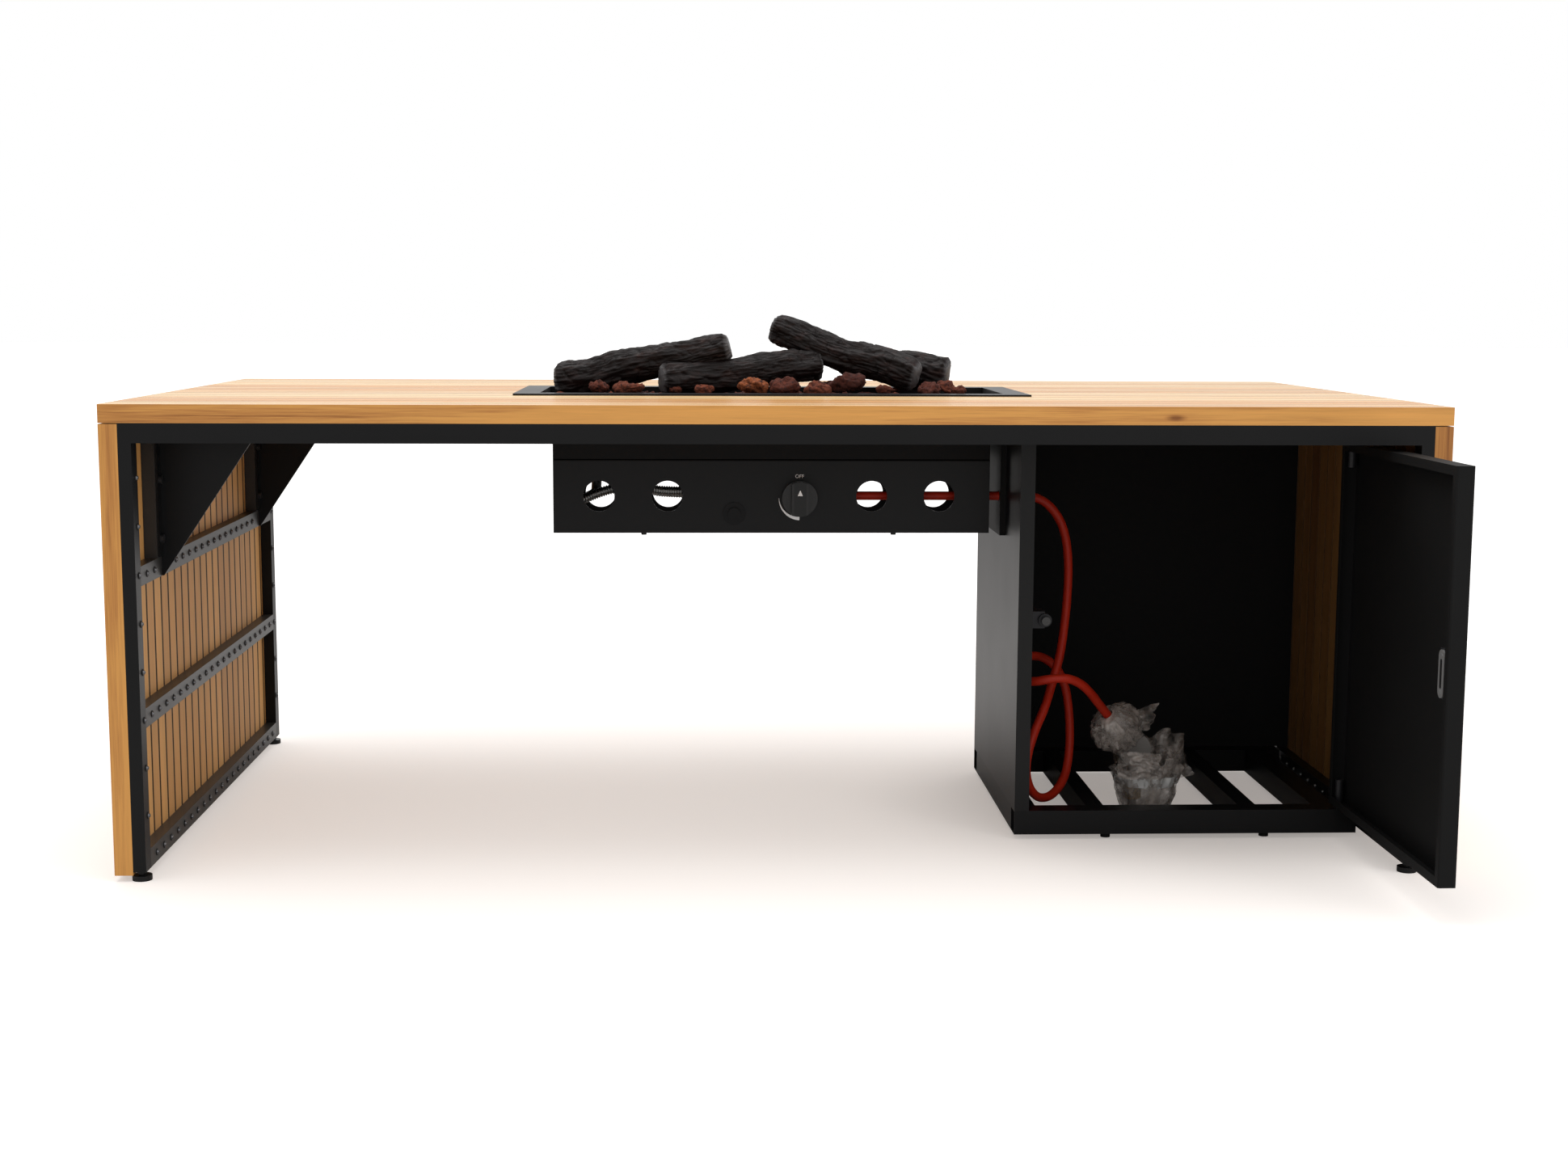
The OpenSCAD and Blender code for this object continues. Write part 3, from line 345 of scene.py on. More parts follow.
# %% [markdown]
# The floor is pale and plain. A camera ray sees a little light added to it, and more further from
# the table, so that the floor runs into the white background while the shadow stays. Round the
# cabinet, which stands lowest, less is added, which paints a shadow on the floor under and beside
# it. The world is white to the camera and to reflections, and softer as a light.

# %% Floor
FLOOR_HALF = 40.0
FLOOR_COLOUR = (0.80, 0.775, 0.755)
NEAR_GLOW = scaled((1, 0.93, 0.88), 0.46)
FAR_GLOW = (0.75, 0.75, 0.75)
GLOW_RISE = (0.7, 3.6)
CABINET_X, CABINET_Y = 0.70, 0.12
CABINET_REACH_X, CABINET_REACH_Y = 0.44, 0.46
SHADE_RISE = (0.5, 1.35)
SHADE_SHARE = 0.66

shader = Shader("floor")
seen = shader.add("ShaderNodeLightPath", out="Is Camera Ray")
floor_x, floor_y, _ = shader.xyz(shader.place())
away = shader.between(shader.distance(floor_x, floor_y), *GLOW_RISE, "SMOOTHSTEP")
# Less glow round the cabinet: a painted shadow on the floor.
beside = shader.distance((floor_x - CABINET_X) / CABINET_REACH_X,
                         (floor_y - CABINET_Y) / CABINET_REACH_Y)
clear = shader.between(beside, *SHADE_RISE, "SMOOTHSTEP")
glow = shader.mix(seen * (SHADE_SHARE + clear * (1 - SHADE_SHARE)), (0, 0, 0),
                  shader.mix(away, NEAR_GLOW, FAR_GLOW))
floor_paint = shader.finish(FLOOR_COLOUR, 0.9, Emission_Color=glow, Emission_Strength=1.0)
corners = [(x * FLOOR_HALF, y * FLOOR_HALF, 0) for x, y in ((-1, -1), (1, -1), (1, 1), (-1, 1))]
floor = add_mesh("floor", corners, [(0, 1, 2, 3)])
paint(floor, floor_paint)
print("floor", 2 * FLOOR_HALF, "m wide")

# %% World
WORLD_LIGHT = 0.62

world = bpy.data.worlds.new("studio")
bpy.context.scene.world = world
sky = Shader("studio", world)
kinds = [sky.add("ShaderNodeLightPath", out=f"Is {kind} Ray")
         for kind in ("Camera", "Glossy", "Transmission")]
looked_at = sky.maths("MAXIMUM", sky.maths("MAXIMUM", kinds[0], kinds[1]), kinds[2])
strength = sky.add("ShaderNodeMapRange", {"Value": looked_at, "To Min": WORLD_LIGHT})
sky.end(sky.add("ShaderNodeBackground", {"Color": (1, 1, 1, 1), "Strength": strength}),
        "ShaderNodeOutputWorld")
bpy.context.scene.view_settings.view_transform = "Standard"
print("world ready")

# %% [markdown]
# Two large soft lamps: one above lights the top and the floor, and a weaker one from the front
# right lights the inner side of the left panel and its rails. Small lamps would draw hard shadows,
# and the set has none.


# %% Lamps
def soft_lamp(name, place, target, size, watts):
    lamp = bpy.data.lights.new(name, "AREA")
    lamp.shape = "SQUARE"
    lamp.size = size
    lamp.energy = watts
    aim = (Vector(target) - Vector(place)).to_track_quat("-Z", "Y")
    add_object(name, lamp).matrix_world = Matrix.Translation(place) @ aim.to_matrix().to_4x4()


soft_lamp("overhead", (-0.3, 0.3, 3.4), (0.0, 0.2, 0.4), 3.4, 84)
soft_lamp("front right", (3.4, -2.6, 1.75), (-0.6, 0.1, 0.4), 2.4, 31)
print("lamps ready")

# %% [markdown]
# Each teak board is its own piece of wood, so its tone and its grain start somewhere else. The
# shader counts the boards across the table, and long thin noise runs along them as grain. Sawn ends
# have no long lines. Faces between boards and the edges beside them are darkened as painted shade,
# and so are the right panel's inner faces. Faces that look up are paled as a painted sheen, and the
# left panel's inner faces as painted light.

# %% Teak
FRONT_Y, BACK_Y = -0.385, 0.665
MIDDLE_Y = (FRONT_Y + BACK_Y) / 2
PITCH_Y = 0.0458261
SLAT_SHARE = 0.9127
SEAM_FROM = 0.436
OUTER_SKIN = 0.003
FACING = 0.7
TEAK_LIGHT = (0.72, 0.345, 0.088)
TEAK_MID = (0.56, 0.242, 0.062)
TEAK_DARK = (0.26, 0.092, 0.021)
TEAK_PALE = (0.98, 0.73, 0.38)
TEAK_SHADE = (0.016, 0.007, 0.003)
GRAIN_STOPS = [(0.24, TEAK_DARK), (0.39, TEAK_MID), (0.52, TEAK_LIGHT),
               (0.68, scaled(TEAK_LIGHT, 1.12))]
KNOT_LENGTH, KNOT_HEIGHT, KNOT_DEPTH, KNOT_DARK = 0.020, 0.006, 0.02, 0.30
# Noise per metre along the grain and across it.
WIDE, FINE, PORES, SAWN = (1.1, 34), (9.0, 330), (55.0, 1500), (40, 260)


def knot_shade(shader, run, across, thick, centre):
    """1 in the middle of a knot in the front edge, 0 beyond it."""
    ring = shader.distance((run - centre[0]) / KNOT_LENGTH, (thick - centre[1]) / KNOT_HEIGHT)
    return shader.maths("MAXIMUM", 1.0 - ring, 0.0) * (across < FRONT_Y + KNOT_DEPTH)


def teak(name, along, through, offset, knot=None, inner_loss=0.0, contrast=1.0, polish=0.0,
         seam=0.0, bands=0.0, lift=0.0, fade=0.0):
    """Wood with its grain along one axis (0 is X, 2 is Z) and its boards side by side in Y.

    inner_loss darkens the faces that look back through the boards, as painted shade. lift and fade
    pale those that look forward, as painted light. seam darkens the boards' edges by the gaps, as
    painted shade. bands makes whole boards paler or darker.
    """
    shader = Shader(name)
    place = shader.xyz(shader.place())
    run, across, thick = place[along], place[1], place[through]
    face = shader.xyz(shader.add("ShaderNodeNewGeometry", out="True Normal"))
    inward, upward = face[through] > FACING, face[2] > FACING

    count = (across - FRONT_Y) / PITCH_Y
    board = count.floor()
    from_middle = abs(count - board - SLAT_SHARE / 2) / SLAT_SHARE
    chance = shader.add("ShaderNodeTexWhiteNoise", {"W": board + offset}, noise_dimensions="1D")
    start = chance * 43.0
    strip = shader.noise(shader.vector(run * 0.35, board * 0.43, offset), 1.0, 2)

    def lines(rates, side, detail, rough=0.5):
        place = shader.vector(run * rates[0] + start, side, thick * rates[1])
        return shader.noise(place, 1.0, detail, rough)

    bend = shader.noise(shader.vector(run * 1.6 + start, board * 3.1, offset), 1.0, 2)
    wide = lines(WIDE, (across + bend * 0.02) * WIDE[1] + board * 7.3, 4, 0.55)
    fine = lines(FINE, across * FINE[1], 3, 0.6)
    pores = lines(PORES, across * PORES[1], 1)
    # lift raises the colour on faces that look forward: painted light.
    grain = 0.51 + inward * lift + (wide * 0.74 + fine * 0.40 - 0.57) * contrast
    if knot:
        grain = grain - knot_shade(shader, run, across, thick, knot) * KNOT_DARK
    tone = chance * 0.42 + 0.62 + (strip - 0.5) * bands
    planed = shader.mix(1.0, shader.ramp(grain, GRAIN_STOPS),
                        shader.mix(tone, scaled(TEAK_MID, 0.55), (1, 1, 1)), "MULTIPLY")

    fibres = shader.noise(shader.vector(across * SAWN[1], thick * SAWN[1], run * SAWN[0]), 1.0, 3)
    sawn = shader.mix(fibres, scaled(TEAK_MID, 0.55), scaled(TEAK_MID, 0.9))
    wood = shader.mix(abs(face[along]) > FACING, planed, sawn)
    # Painted light: faces that look up are paled as a sheen, and faces that look forward by fade.
    painted_light = shader.mix(upward * (0.30 - (strip - 0.5) * bands * 1.7) + inward * fade,
                           wood, TEAK_PALE)

    # Painted shade: gap faces between boards, the edges by the gaps and, with inner_loss, the faces
    # that look back.
    between = (abs(face[1]) > FACING) * (
        abs(across - MIDDLE_Y) < (BACK_Y - FRONT_Y) / 2 - OUTER_SKIN)
    inside = (face[through] < -FACING) * inner_loss
    edge = (from_middle > SEAM_FROM) * seam * (abs(face[1]) < FACING)
    base = shader.mix(between * 0.90 + inside + edge, painted_light, TEAK_SHADE)
    relief = shader.bump(fine * 0.6 + pores * 0.4, 0.0006, 0.5)
    return shader.finish(base, 0.50 + fine * 0.20 - upward * polish, Normal=relief,
                         Specular_IOR_Level=0.35)


TOP_KNOT = (0.5930, 0.7110)
TOP_SLATS = ["top_slats_front", "top_slats_back", "top_slats_left", "top_slats_right"]
PANEL_SLATS = ["left_panel_slats", "right_panel_slats"]
top_teak = teak("teak top", 0, 2, 0.5, knot=TOP_KNOT, contrast=1.25, polish=0.30, seam=0.40,
                bands=1.6)
for name in TOP_SLATS:
    paint(nodes[name], top_teak)
paint(nodes["left_panel_slats"],
      teak("teak left panel", 2, 0, 40.5, seam=0.88, lift=0.16, fade=0.12))
paint(nodes["right_panel_slats"], teak("teak right panel", 2, 0, 71.5, inner_loss=0.72))
print("teak on", len(TOP_SLATS + PANEL_SLATS), "nodes")

# %% [markdown]
# Planed boards have their long edges broken with a small round. The CAD boards are plain boxes, so
# a Bevel modifier limited to sharp edges rounds them all.


# %% Rounded edges
SHARP = radians(50)


def ease_edges(name, width, segments):
    bevel = nodes[name].modifiers.new("eased edges", "BEVEL")
    bevel.width = width
    bevel.segments = segments
    bevel.limit_method = "ANGLE"
    bevel.angle_limit = SHARP


for name in TOP_SLATS + PANEL_SLATS:
    ease_edges(name, 0.0016, 2)
print("edges eased")

# %% [markdown]
# Powder coat is paint baked from powder, with a fine orange-peel that breaks up reflections. Noise
# in a Bump node does this at no cost in geometry. The same function makes every plain finish here,
# with its own colour, roughness and shine. A few pieces get one of their own.


# %% Plain finishes
PEEL_SCALE, PEEL_DEPTH = 900.0, 0.00004
PATCH_SCALE = 7.0


def plain(name, colour, roughness, metallic=0.0, vary=0.06, shine=0.5):
    shader = Shader(name)
    place = shader.place()
    peel = shader.noise(place, PEEL_SCALE, 2)
    patches = shader.noise(place, PATCH_SCALE, 3)
    lighter = tuple(min(1.0, c * (1 + 3 * vary) + 0.001) for c in colour)
    return shader.finish(shader.mix(patches, colour, lighter), roughness + (patches - 0.5) * vary,
                         Metallic=metallic, Specular_IOR_Level=shine,
                         Normal=shader.bump(peel, PEEL_DEPTH, 0.6))


FINISH = {
    "black_coat": plain("powder coat", (0.0052, 0.0053, 0.0057), 0.37, shine=0.17),
    "dark_inner": plain("heat paint", (0.0055, 0.0055, 0.0056), 0.62, shine=0.12),
    "stainless": plain("stainless", (0.62, 0.62, 0.61), 0.26, metallic=1.0, vary=0.12),
    "zinc": plain("zinc", (0.72, 0.72, 0.72), 0.24, metallic=1.0, vary=0.10),
    "dark_steel": plain("dark steel", (0.025, 0.025, 0.027), 0.42, metallic=0.4, shine=0.25),
    "brass": plain("brass", (0.72, 0.50, 0.20), 0.28, metallic=1.0, vary=0.10),
    "black_rubber": plain("black rubber", (0.007, 0.007, 0.007), 0.70, shine=0.15),
    "black_plastic": plain("black plastic", (0.006, 0.006, 0.0065), 0.30, shine=0.28),
    "zamak": plain("die-cast", (0.16, 0.15, 0.14), 0.50, metallic=0.6),
}
slot_of = {part["node"]: part["material_slot"] for part in frame["record"]["subparts"]}
for name, obj in nodes.items():
    if slot_of[name] in FINISH:
        paint(obj, FINISH[slot_of[name]])
for name in ("cabinet_back", "heat_shield", "door_shell"):
    paint(nodes[name], FINISH["dark_inner"])
# A darker copy of the powder coat on the cabinet side: painted shade, with more shine.
paint(nodes["cabinet_side"], plain("cabinet coat", (0.0040, 0.0040, 0.0042), 0.37, shine=0.24))
for name in ("hinge_pins", "gusset_bolts", "box_screws"):
    paint(nodes[name], FINISH["dark_steel"])
# A paler, glossier copy of the powder coat on the left rails: painted light on their inner faces.
paint(nodes["left_rails"], plain("rail coat with painted light", (0.030, 0.0285, 0.027), 0.36, shine=0.32))
for name in ("igniter_body", "igniter_button"):
    paint(nodes[name], plain("glossy " + name, (0.0035, 0.0035, 0.0038), 0.22, shine=0.16))
# The latch plunger is painted a dark steel.
paint(nodes["latch_plunger"], plain("dark plunger steel", (0.055, 0.055, 0.055), 0.28, metallic=0.9))
print(len(FINISH), "plain finishes")

# %% [markdown]
# Slat screws: a dark washer under a steel button head with a hexagon socket, whose shade is painted
# as a flat dark hexagon on the head. There are more than two hundred, all alike, so the mesh holds
# one point for each, and Geometry Nodes build one screw and copy it to every point. Instances are
# realised at the end, because other programs read plain meshes only.


# %% Geometry Nodes helpers
SOCKETS = {float: "Float", int: "Int", tuple: "Vector", type(None): "Material"}


class Nodes(Tree):
    """A Geometry Nodes tree with named inputs, one Geometry among them."""

    def __init__(self, name, inputs):
        self.tree = bpy.data.node_groups.new(name, "GeometryNodeTree")
        self.ids = {}
        for in_out in ("INPUT", "OUTPUT"):
            self.tree.interface.new_socket(name="Geometry", in_out=in_out,
                                           socket_type="NodeSocketGeometry")
        for label, value in inputs.items():
            socket = self.tree.interface.new_socket(
                name=label, in_out="INPUT", socket_type="NodeSocket" + SOCKETS[type(value)])
            if value is not None:
                socket.default_value = value
            self.ids[label] = socket.identifier
        self.source = self.tree.nodes.new("NodeGroupInput")
        self.sink = self.tree.nodes.new("NodeGroupOutput")

    def __getitem__(self, label):
        return Val(self, self.source.outputs[label])

    def random(self, low, high):
        return self.add("FunctionNodeRandomValue", {"Min": low, "Max": high, "Seed": self["Seed"]},
                        data_type="FLOAT_VECTOR")

    def painted(self, geometry, label="Finish"):
        return self.add("GeometryNodeSetMaterial", {"Geometry": geometry, "Material": self[label]})

    def raised(self, mesh, height):
        return self.add("GeometryNodeTransform",
                        {"Geometry": mesh, "Translation": self.vector(0, 0, height)})

    def end(self, geometry):
        self.tree.links.new(geometry.socket, self.sink.inputs["Geometry"])
        print(self.tree.name, "tree has", len(self.tree.nodes), "nodes")


def bake(obj, nodes_tree, **settings):
    """Runs the tree on the object, keeps the result as its plain mesh and drops the modifier."""
    modifier = obj.modifiers.new("shape", "NODES")
    modifier.node_group = nodes_tree.tree
    for label, value in settings.items():
        modifier[nodes_tree.ids[label.replace("_", " ")]] = value
    mesh = final_mesh(obj)
    obj.modifiers.clear()
    obj.data = mesh
    return obj


print("node tree helpers ready")

# %% The screw tree
washer_black = plain("washer", (0.016, 0.016, 0.016), 0.50, shine=0.16)
head_steel = plain("screw head", (0.13, 0.13, 0.135), 0.32, metallic=0.9)
# The socket is a flat dark hexagon on the head: painted shade in the recess.
recess_shade = plain("socket", (0.008, 0.008, 0.008), 0.60, shine=0.10)
screws = Nodes("Screws", {
    "Washer radius": 0.0055, "Washer thickness": 0.001, "Head radius": 0.0038,
    "Head height": 0.0026, "Turn": (0, 0, 0), "Seed": 7, "Washer finish": None,
    "Head finish": None, "Socket finish": None})
HEAD_TAPER, SOCKET_SHARE = 0.68, 0.62
thick, high, wide = (screws[label] for label in ("Washer thickness", "Head height", "Head radius"))
narrow = wide * HEAD_TAPER
washer = screws.add("GeometryNodeMeshCylinder", {
    "Vertices": 24, "Radius": screws["Washer radius"], "Depth": thick})
head = screws.add("GeometryNodeMeshCone", {
    "Vertices": 24, "Radius Top": narrow, "Radius Bottom": wide, "Depth": high})
hexagon = screws.add("GeometryNodeMeshCylinder", {
    "Vertices": 6, "Radius": narrow * SOCKET_SHARE, "Depth": 0.0001})
screw = screws.add("GeometryNodeJoinGeometry", {"Geometry": [
    screws.painted(screws.raised(washer, thick * 0.5), "Washer finish"),
    screws.painted(screws.raised(head, thick), "Head finish"),
    screws.painted(screws.raised(hexagon, thick + high), "Socket finish")]})
spin = screws.add("FunctionNodeRandomValue", {"Seed": screws["Seed"]}, out=1) * 6.283
turn = screws.add("FunctionNodeRotateRotation", {
    0: screws.add("FunctionNodeEulerToRotation", {0: screws["Turn"]}),
    1: screws.add("FunctionNodeEulerToRotation", {0: screws.vector(0, 0, spin)})},
    rotation_space="LOCAL")
copies = screws.add("GeometryNodeInstanceOnPoints", {
    "Points": screws["Geometry"], "Instance": screw, "Rotation": turn})
screws.end(screws.add("GeometryNodeRealizeInstances", {"Geometry": copies}))

# %% Screw places
FRAME_X = 0.972
SLATS = 23
RAIL_LOW, RAIL_TOP, TUBE = 0.015, 0.670, 0.030
LEFT_RAILS = [RAIL_LOW + i * (RAIL_TOP - RAIL_LOW) / 3 for i in range(4)]
RIGHT_RAILS = [RAIL_LOW, RAIL_TOP]
CROSS_RAILS = [-0.70125, -0.4155, 0.408, 0.6975]
UNDER_GUSSET = (3, 19)
EDGE_SCREWS_Z = [0.099 + 0.074 * k for k in range(8)]
slat_mid = [FRONT_Y + 0.0209130 + i * PITCH_Y for i in range(SLATS)]


def panel_places(side, rails):
    """Along the rails, but not under the left gussets, and up the two outer slats."""
    places = [(slat_mid[i], z + TUBE / 2) for z in rails for i in range(1, SLATS - 1)
              if side > 0 or z not in rails[-2:] or i not in UNDER_GUSSET]
    places += [(slat_mid[i], z) for i in (0, SLATS - 1) for z in EDGE_SCREWS_Z]
    return [(side * FRAME_X, y, z) for y, z in places]


SCREW_GROUPS = {
    "left_panel_screws": (panel_places(-1, LEFT_RAILS), (0, pi / 2, 0)),
    "right_panel_screws": (panel_places(1, RIGHT_RAILS), (0, -pi / 2, 0)),
    "top_screws": ([(x, y, RAIL_TOP) for x in CROSS_RAILS for y in slat_mid[1:-1]], (pi, 0, 0)),
}
for node, (places, turn_to) in SCREW_GROUPS.items():
    group = add_mesh("turned_" + node, places, [])
    bake(group, screws, Turn=turn_to, Washer_finish=washer_black, Head_finish=head_steel,
         Socket_finish=recess_shade)
    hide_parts(node)
    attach(group, "table")
    print(node, len(places), "screws")

# %% [markdown]
# Lava stones are chunks of red-brown pumice, full of pits. A hundred of them need no sculpting:
# each is a sphere that noise and Voronoi cells push in and out, the cells giving it flat broken
# sides. The noise is read at the place in the table, so no two stones come out alike.

# %% The stone tree
BURNER = Vector((-0.005, 0.117087, 0))
DECK_TOP = 0.692
STONE_R = 0.020
STONE_HALF = cos(radians(30))
BED_TOP = DECK_TOP + 2 * STONE_HALF * STONE_R
COLUMNS, ROWS = 17, 6
PITCH_X, PITCH_ROW = 0.044, 0.042

stones = Nodes("Stones", {
    "Lumps": 0.020, "Sides": 0.015, "Crags": 0.013, "Pits": 0.0070, "Seed": 3, "Finish": None})
ball = stones.add("GeometryNodeMeshIcoSphere", {"Radius": 1.0, "Subdivisions": 4})
size = stones.add("GeometryNodeInputNamedAttribute", {"Name": "size"}, data_type="FLOAT")
flat = stones.random((1.00, 0.85, 0.56), (1.38, 1.12, 0.78))
spin = stones.random((-0.35, -0.3, -0.6), (0.35, 0.3, 0.6))
copies = stones.add("GeometryNodeInstanceOnPoints", {
    "Points": stones["Geometry"], "Instance": ball,
    "Scale": stones.add("ShaderNodeVectorMath", {0: flat, 1: size}, operation="MULTIPLY"),
    "Rotation": stones.add("FunctionNodeEulerToRotation", {0: spin})})
real = stones.add("GeometryNodeRealizeInstances", {"Geometry": copies})
place = stones.add("GeometryNodeInputPosition")


def push(scale, label):
    """How far noise at one scale moves the surface, inwards or outwards."""
    rough = stones.add("ShaderNodeTexNoise", {"Vector": place, "Scale": scale, "Detail": 2.0})
    return (rough - 0.56) * stones[label]


cells = stones.add("ShaderNodeTexVoronoi", {"Vector": place, "Scale": 30.0})
sides = (cells + -0.50) * stones["Sides"]
pushed = push(36.0, "Lumps") + push(260.0, "Pits") + push(95.0, "Crags") + sides
offset = stones.add("ShaderNodeVectorMath", {
    0: stones.add("GeometryNodeInputNormal"), "Scale": pushed}, operation="SCALE")
moved = stones.add("GeometryNodeSetPosition", {"Geometry": real, "Offset": offset})
stones.end(stones.painted(stones.add("GeometryNodeSetShadeSmooth", {"Geometry": moved})))

# %% [markdown]
# Their finish is a dark red-brown that differs from stone to stone, with darker patches and pits
# from a Voronoi pattern. Each stone's tone is an attribute on its point, which the tree carries to
# the mesh.

# %% Stone finish
LAVA_STOPS = [(0.0, (0.034, 0.010, 0.008)), (0.4, (0.100, 0.026, 0.016)),
              (0.75, (0.200, 0.052, 0.024)), (1.0, (0.330, 0.098, 0.036))]
shader = Shader("lava")
place = shader.place()
pits = shader.cells(place, 320.0)
patch = shader.noise(place, 150.0, 5, 0.65)
body = shader.ramp(shader.attribute("tone"), LAVA_STOPS)
lava = shader.finish(shader.mix(patch * 3.4 - 1.35, body, (0.014, 0.006, 0.006)), 0.9,
                     Specular_IOR_Level=0.2,
                     Normal=shader.bump(pits * 0.7 + patch * 0.5, 0.0018, 0.9))
print("lava with", len(LAVA_STOPS), "tones")

# %% Laying the stones
# Column, row, radius in mm and tone, from dark to pale.
UPPER_STONES = [
    (1.35, 0.9, 15, 0.45), (2.5, 0.3, 20, 0.60), (4.4, 1.0, 12, 0.5), (5.45, 0.4, 14, 0.65),
    (7.25, 0.35, 24, 0.95), (8.6, 0.4, 21, 0.45), (9.75, 0.3, 17, 0.6), (10, 3, 17, 0.25),
    (10.9, 0.45, 30, 0.22), (12.4, 0.5, 13, 0.5), (13, 2, 9, 0.3), (14.1, 0.7, 17, 0.4),
    (11, 5, 17.5, 0.4), (15, 2.4, 15, 0.55), (2, 4, 14, 0.35), (6, 4, 15, 0.6),
    (15.1, 0.3, 13, 0.5)]
UPPER_SINK = 0.25
PALEST = 0.75


def grid_place(column, row):
    return BURNER + Vector(((column - (COLUMNS - 1) / 2) * PITCH_X,
                            (row - (ROWS - 1) / 2) * PITCH_ROW, 0))


chances = random.Random(11)
beds = [(grid_place(i, j), DECK_TOP, STONE_R, chances.random() * PALEST)
        for i in range(COLUMNS) for j in range(ROWS)]
beds += [(grid_place(i, j), BED_TOP - UPPER_SINK * r / 1000, r / 1000, tone)
         for i, j, r, tone in UPPER_STONES]
stone_points = [place + Vector((0, 0, base + STONE_HALF * r)) for place, base, r, _ in beds]
pile = add_mesh("stone_pile", stone_points, [])
for label, index in (("size", 2), ("tone", 3)):
    store(pile, label, [row[index] for row in beds])
bake(pile, stones, Finish=lava)
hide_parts("lava_rocks")
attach(pile, "table")
print(len(beds), "stones,", len(pile.data.polygons), "faces")

# %% [markdown]
# The logs are ceramic, cast from real charred wood: long ridges of bark, cracks across them and
# worn ends. They are swept tubes with many rings. Each path bows and wanders a little, slow noise
# swells and narrows the outline, and noise stretched along the log cuts the bark into it.

# %% Logs
LOG_SIDES, LOG_RINGS = 120, 190
LOG_GROWTH, SWELL, BARK, WEAR = 1.16, 0.20, 0.22, 0.24
DRIFT = 0.009
END_BAND = 0.007


def noise_at(x, y, z):
    return noise.noise(Vector((x, y, z)))


def bark(along, angle, seed):
    """Depth of the surface, about 0 to 1, at a place along the log and round it."""
    x, y = cos(angle), sin(angle)
    ridge = noise_at(along * 9 + seed, x * 2.2, y * 2.2)
    strips = abs(noise_at(along * 14 + seed * 3, x * 5.5, y * 5.5))
    fine = noise_at(along * 70 + seed * 2, x * 11, y * 11)
    cracks = abs(noise_at(along * 38 + seed * 5, x * 1.6 + 3, y * 1.6))
    crack = max(0.0, 1 - cracks * 7) * (0.3 + 0.7 * (ridge > -0.1))
    knots = noise_at(along * 24 + seed * 4, x * 1.9, y * 1.9)
    return 0.28 + 0.42 * ridge + 0.2 * (1 - 3 * strips) + 0.34 * fine + 0.36 * crack + 0.6 * knots


def make_log(name, start, finish, r_start, r_end, bow, seed):
    """A log between two ends, in mm from the burner's middle and the top of the bed.

    The bow moves its middle back and up. The drift is read once for each axis, because
    noise_vector gives other values each time Blender starts.
    """
    base = BURNER + Vector((0, 0, BED_TOP))
    a, b = base + mm(*start), base + mm(*finish)
    length = (b - a).length
    steps = [i / (LOG_RINGS - 1) for i in range(LOG_RINGS)]
    path = []
    for s in steps:
        drift = Vector([noise_at(s * length * 8 + seed, 0.37, 3.7 * axis + 0.21)
                        for axis in range(3)])
        path.append(a.lerp(b, s) + (mm(0, *bow) + drift * DRIFT) * sin(pi * s))

    def radius(i, angle):
        s = steps[i]
        r = (r_start + s * (r_end - r_start)) / 1000
        x, y = cos(angle), sin(angle)
        chip = noise_at(seed * 7 + (s > 0.5) * 9, x * 1.7, y * 1.7)
        swell = noise_at(s * length * 13 + seed * 2, x * 0.8, y * 0.8)
        end_gap = min(s, 1 - s) * length
        worn = max(0.0, 1 - end_gap / (0.007 + 0.016 * max(0.0, chip)))
        return r * (LOG_GROWTH + SWELL * swell - BARK * bark(s * length, angle, seed) - WEAR * worn)

    log = sweep(name, path, radius, LOG_SIDES)
    axis = (b - a).normalized()
    gaps = [(vertex.co - a).dot(axis) for vertex in log.data.vertices]
    store(log, "end", [max(0.0, 1 - min(abs(gap), abs(length - gap)) / END_BAND) for gap in gaps])
    return log


# Ends, radii at the ends, bow and seed.
LOGS = {
    "left_log": ((-368, 23, 19), (-71, -27, 81), 30.5, 22, (-6, -5), 1.7),
    "centre_log": ((-187, -52, 24.5), (88, 8, 48.5), 24.5, 26, (5, 2), 4.1),
    "crossing_log": ((7, 43, 111.5), (250, -37, 27), 24, 27, (5, 0), 7.9),
    "back_log": ((129, 98, 58), (315, 58, 27), 28, 29, (4, 0), 11.3),
}
charred = {node: make_log("charred_" + node, *shape) for node, shape in LOGS.items()}
print("logs", {node: len(log.data.polygons) for node, log in charred.items()})

# %% [markdown]
# Charred ceramic is nearly black with a red-brown cast. Its worn ends are greyer, partly ash and
# partly a painted highlight on the cut faces. The colour follows the same kind of stretched noise
# as the shape, plus a fine grit.

# %% Log finish
CHARRED_STOPS = [(0.32, (0.002, 0.0015, 0.0015)), (0.50, (0.006, 0.0036, 0.0034)),
                 (0.62, (0.019, 0.0090, 0.0078)), (0.80, (0.085, 0.046, 0.037))]
shader = Shader("charred log")
place = shader.place()
stretched = shader.add("ShaderNodeMapping", {"Vector": place, "Scale": (0.35, 1.0, 1.0)})
streak = shader.noise(stretched, 90.0, 6, 0.65)
blotch = shader.noise(place, 26.0, 3)
grit = shader.noise(place, 700.0, 3)
at_end = shader.attribute("end")
tinted = shader.mix(blotch * 0.7, shader.ramp(streak, CHARRED_STOPS), (0.008, 0.0042, 0.0037))
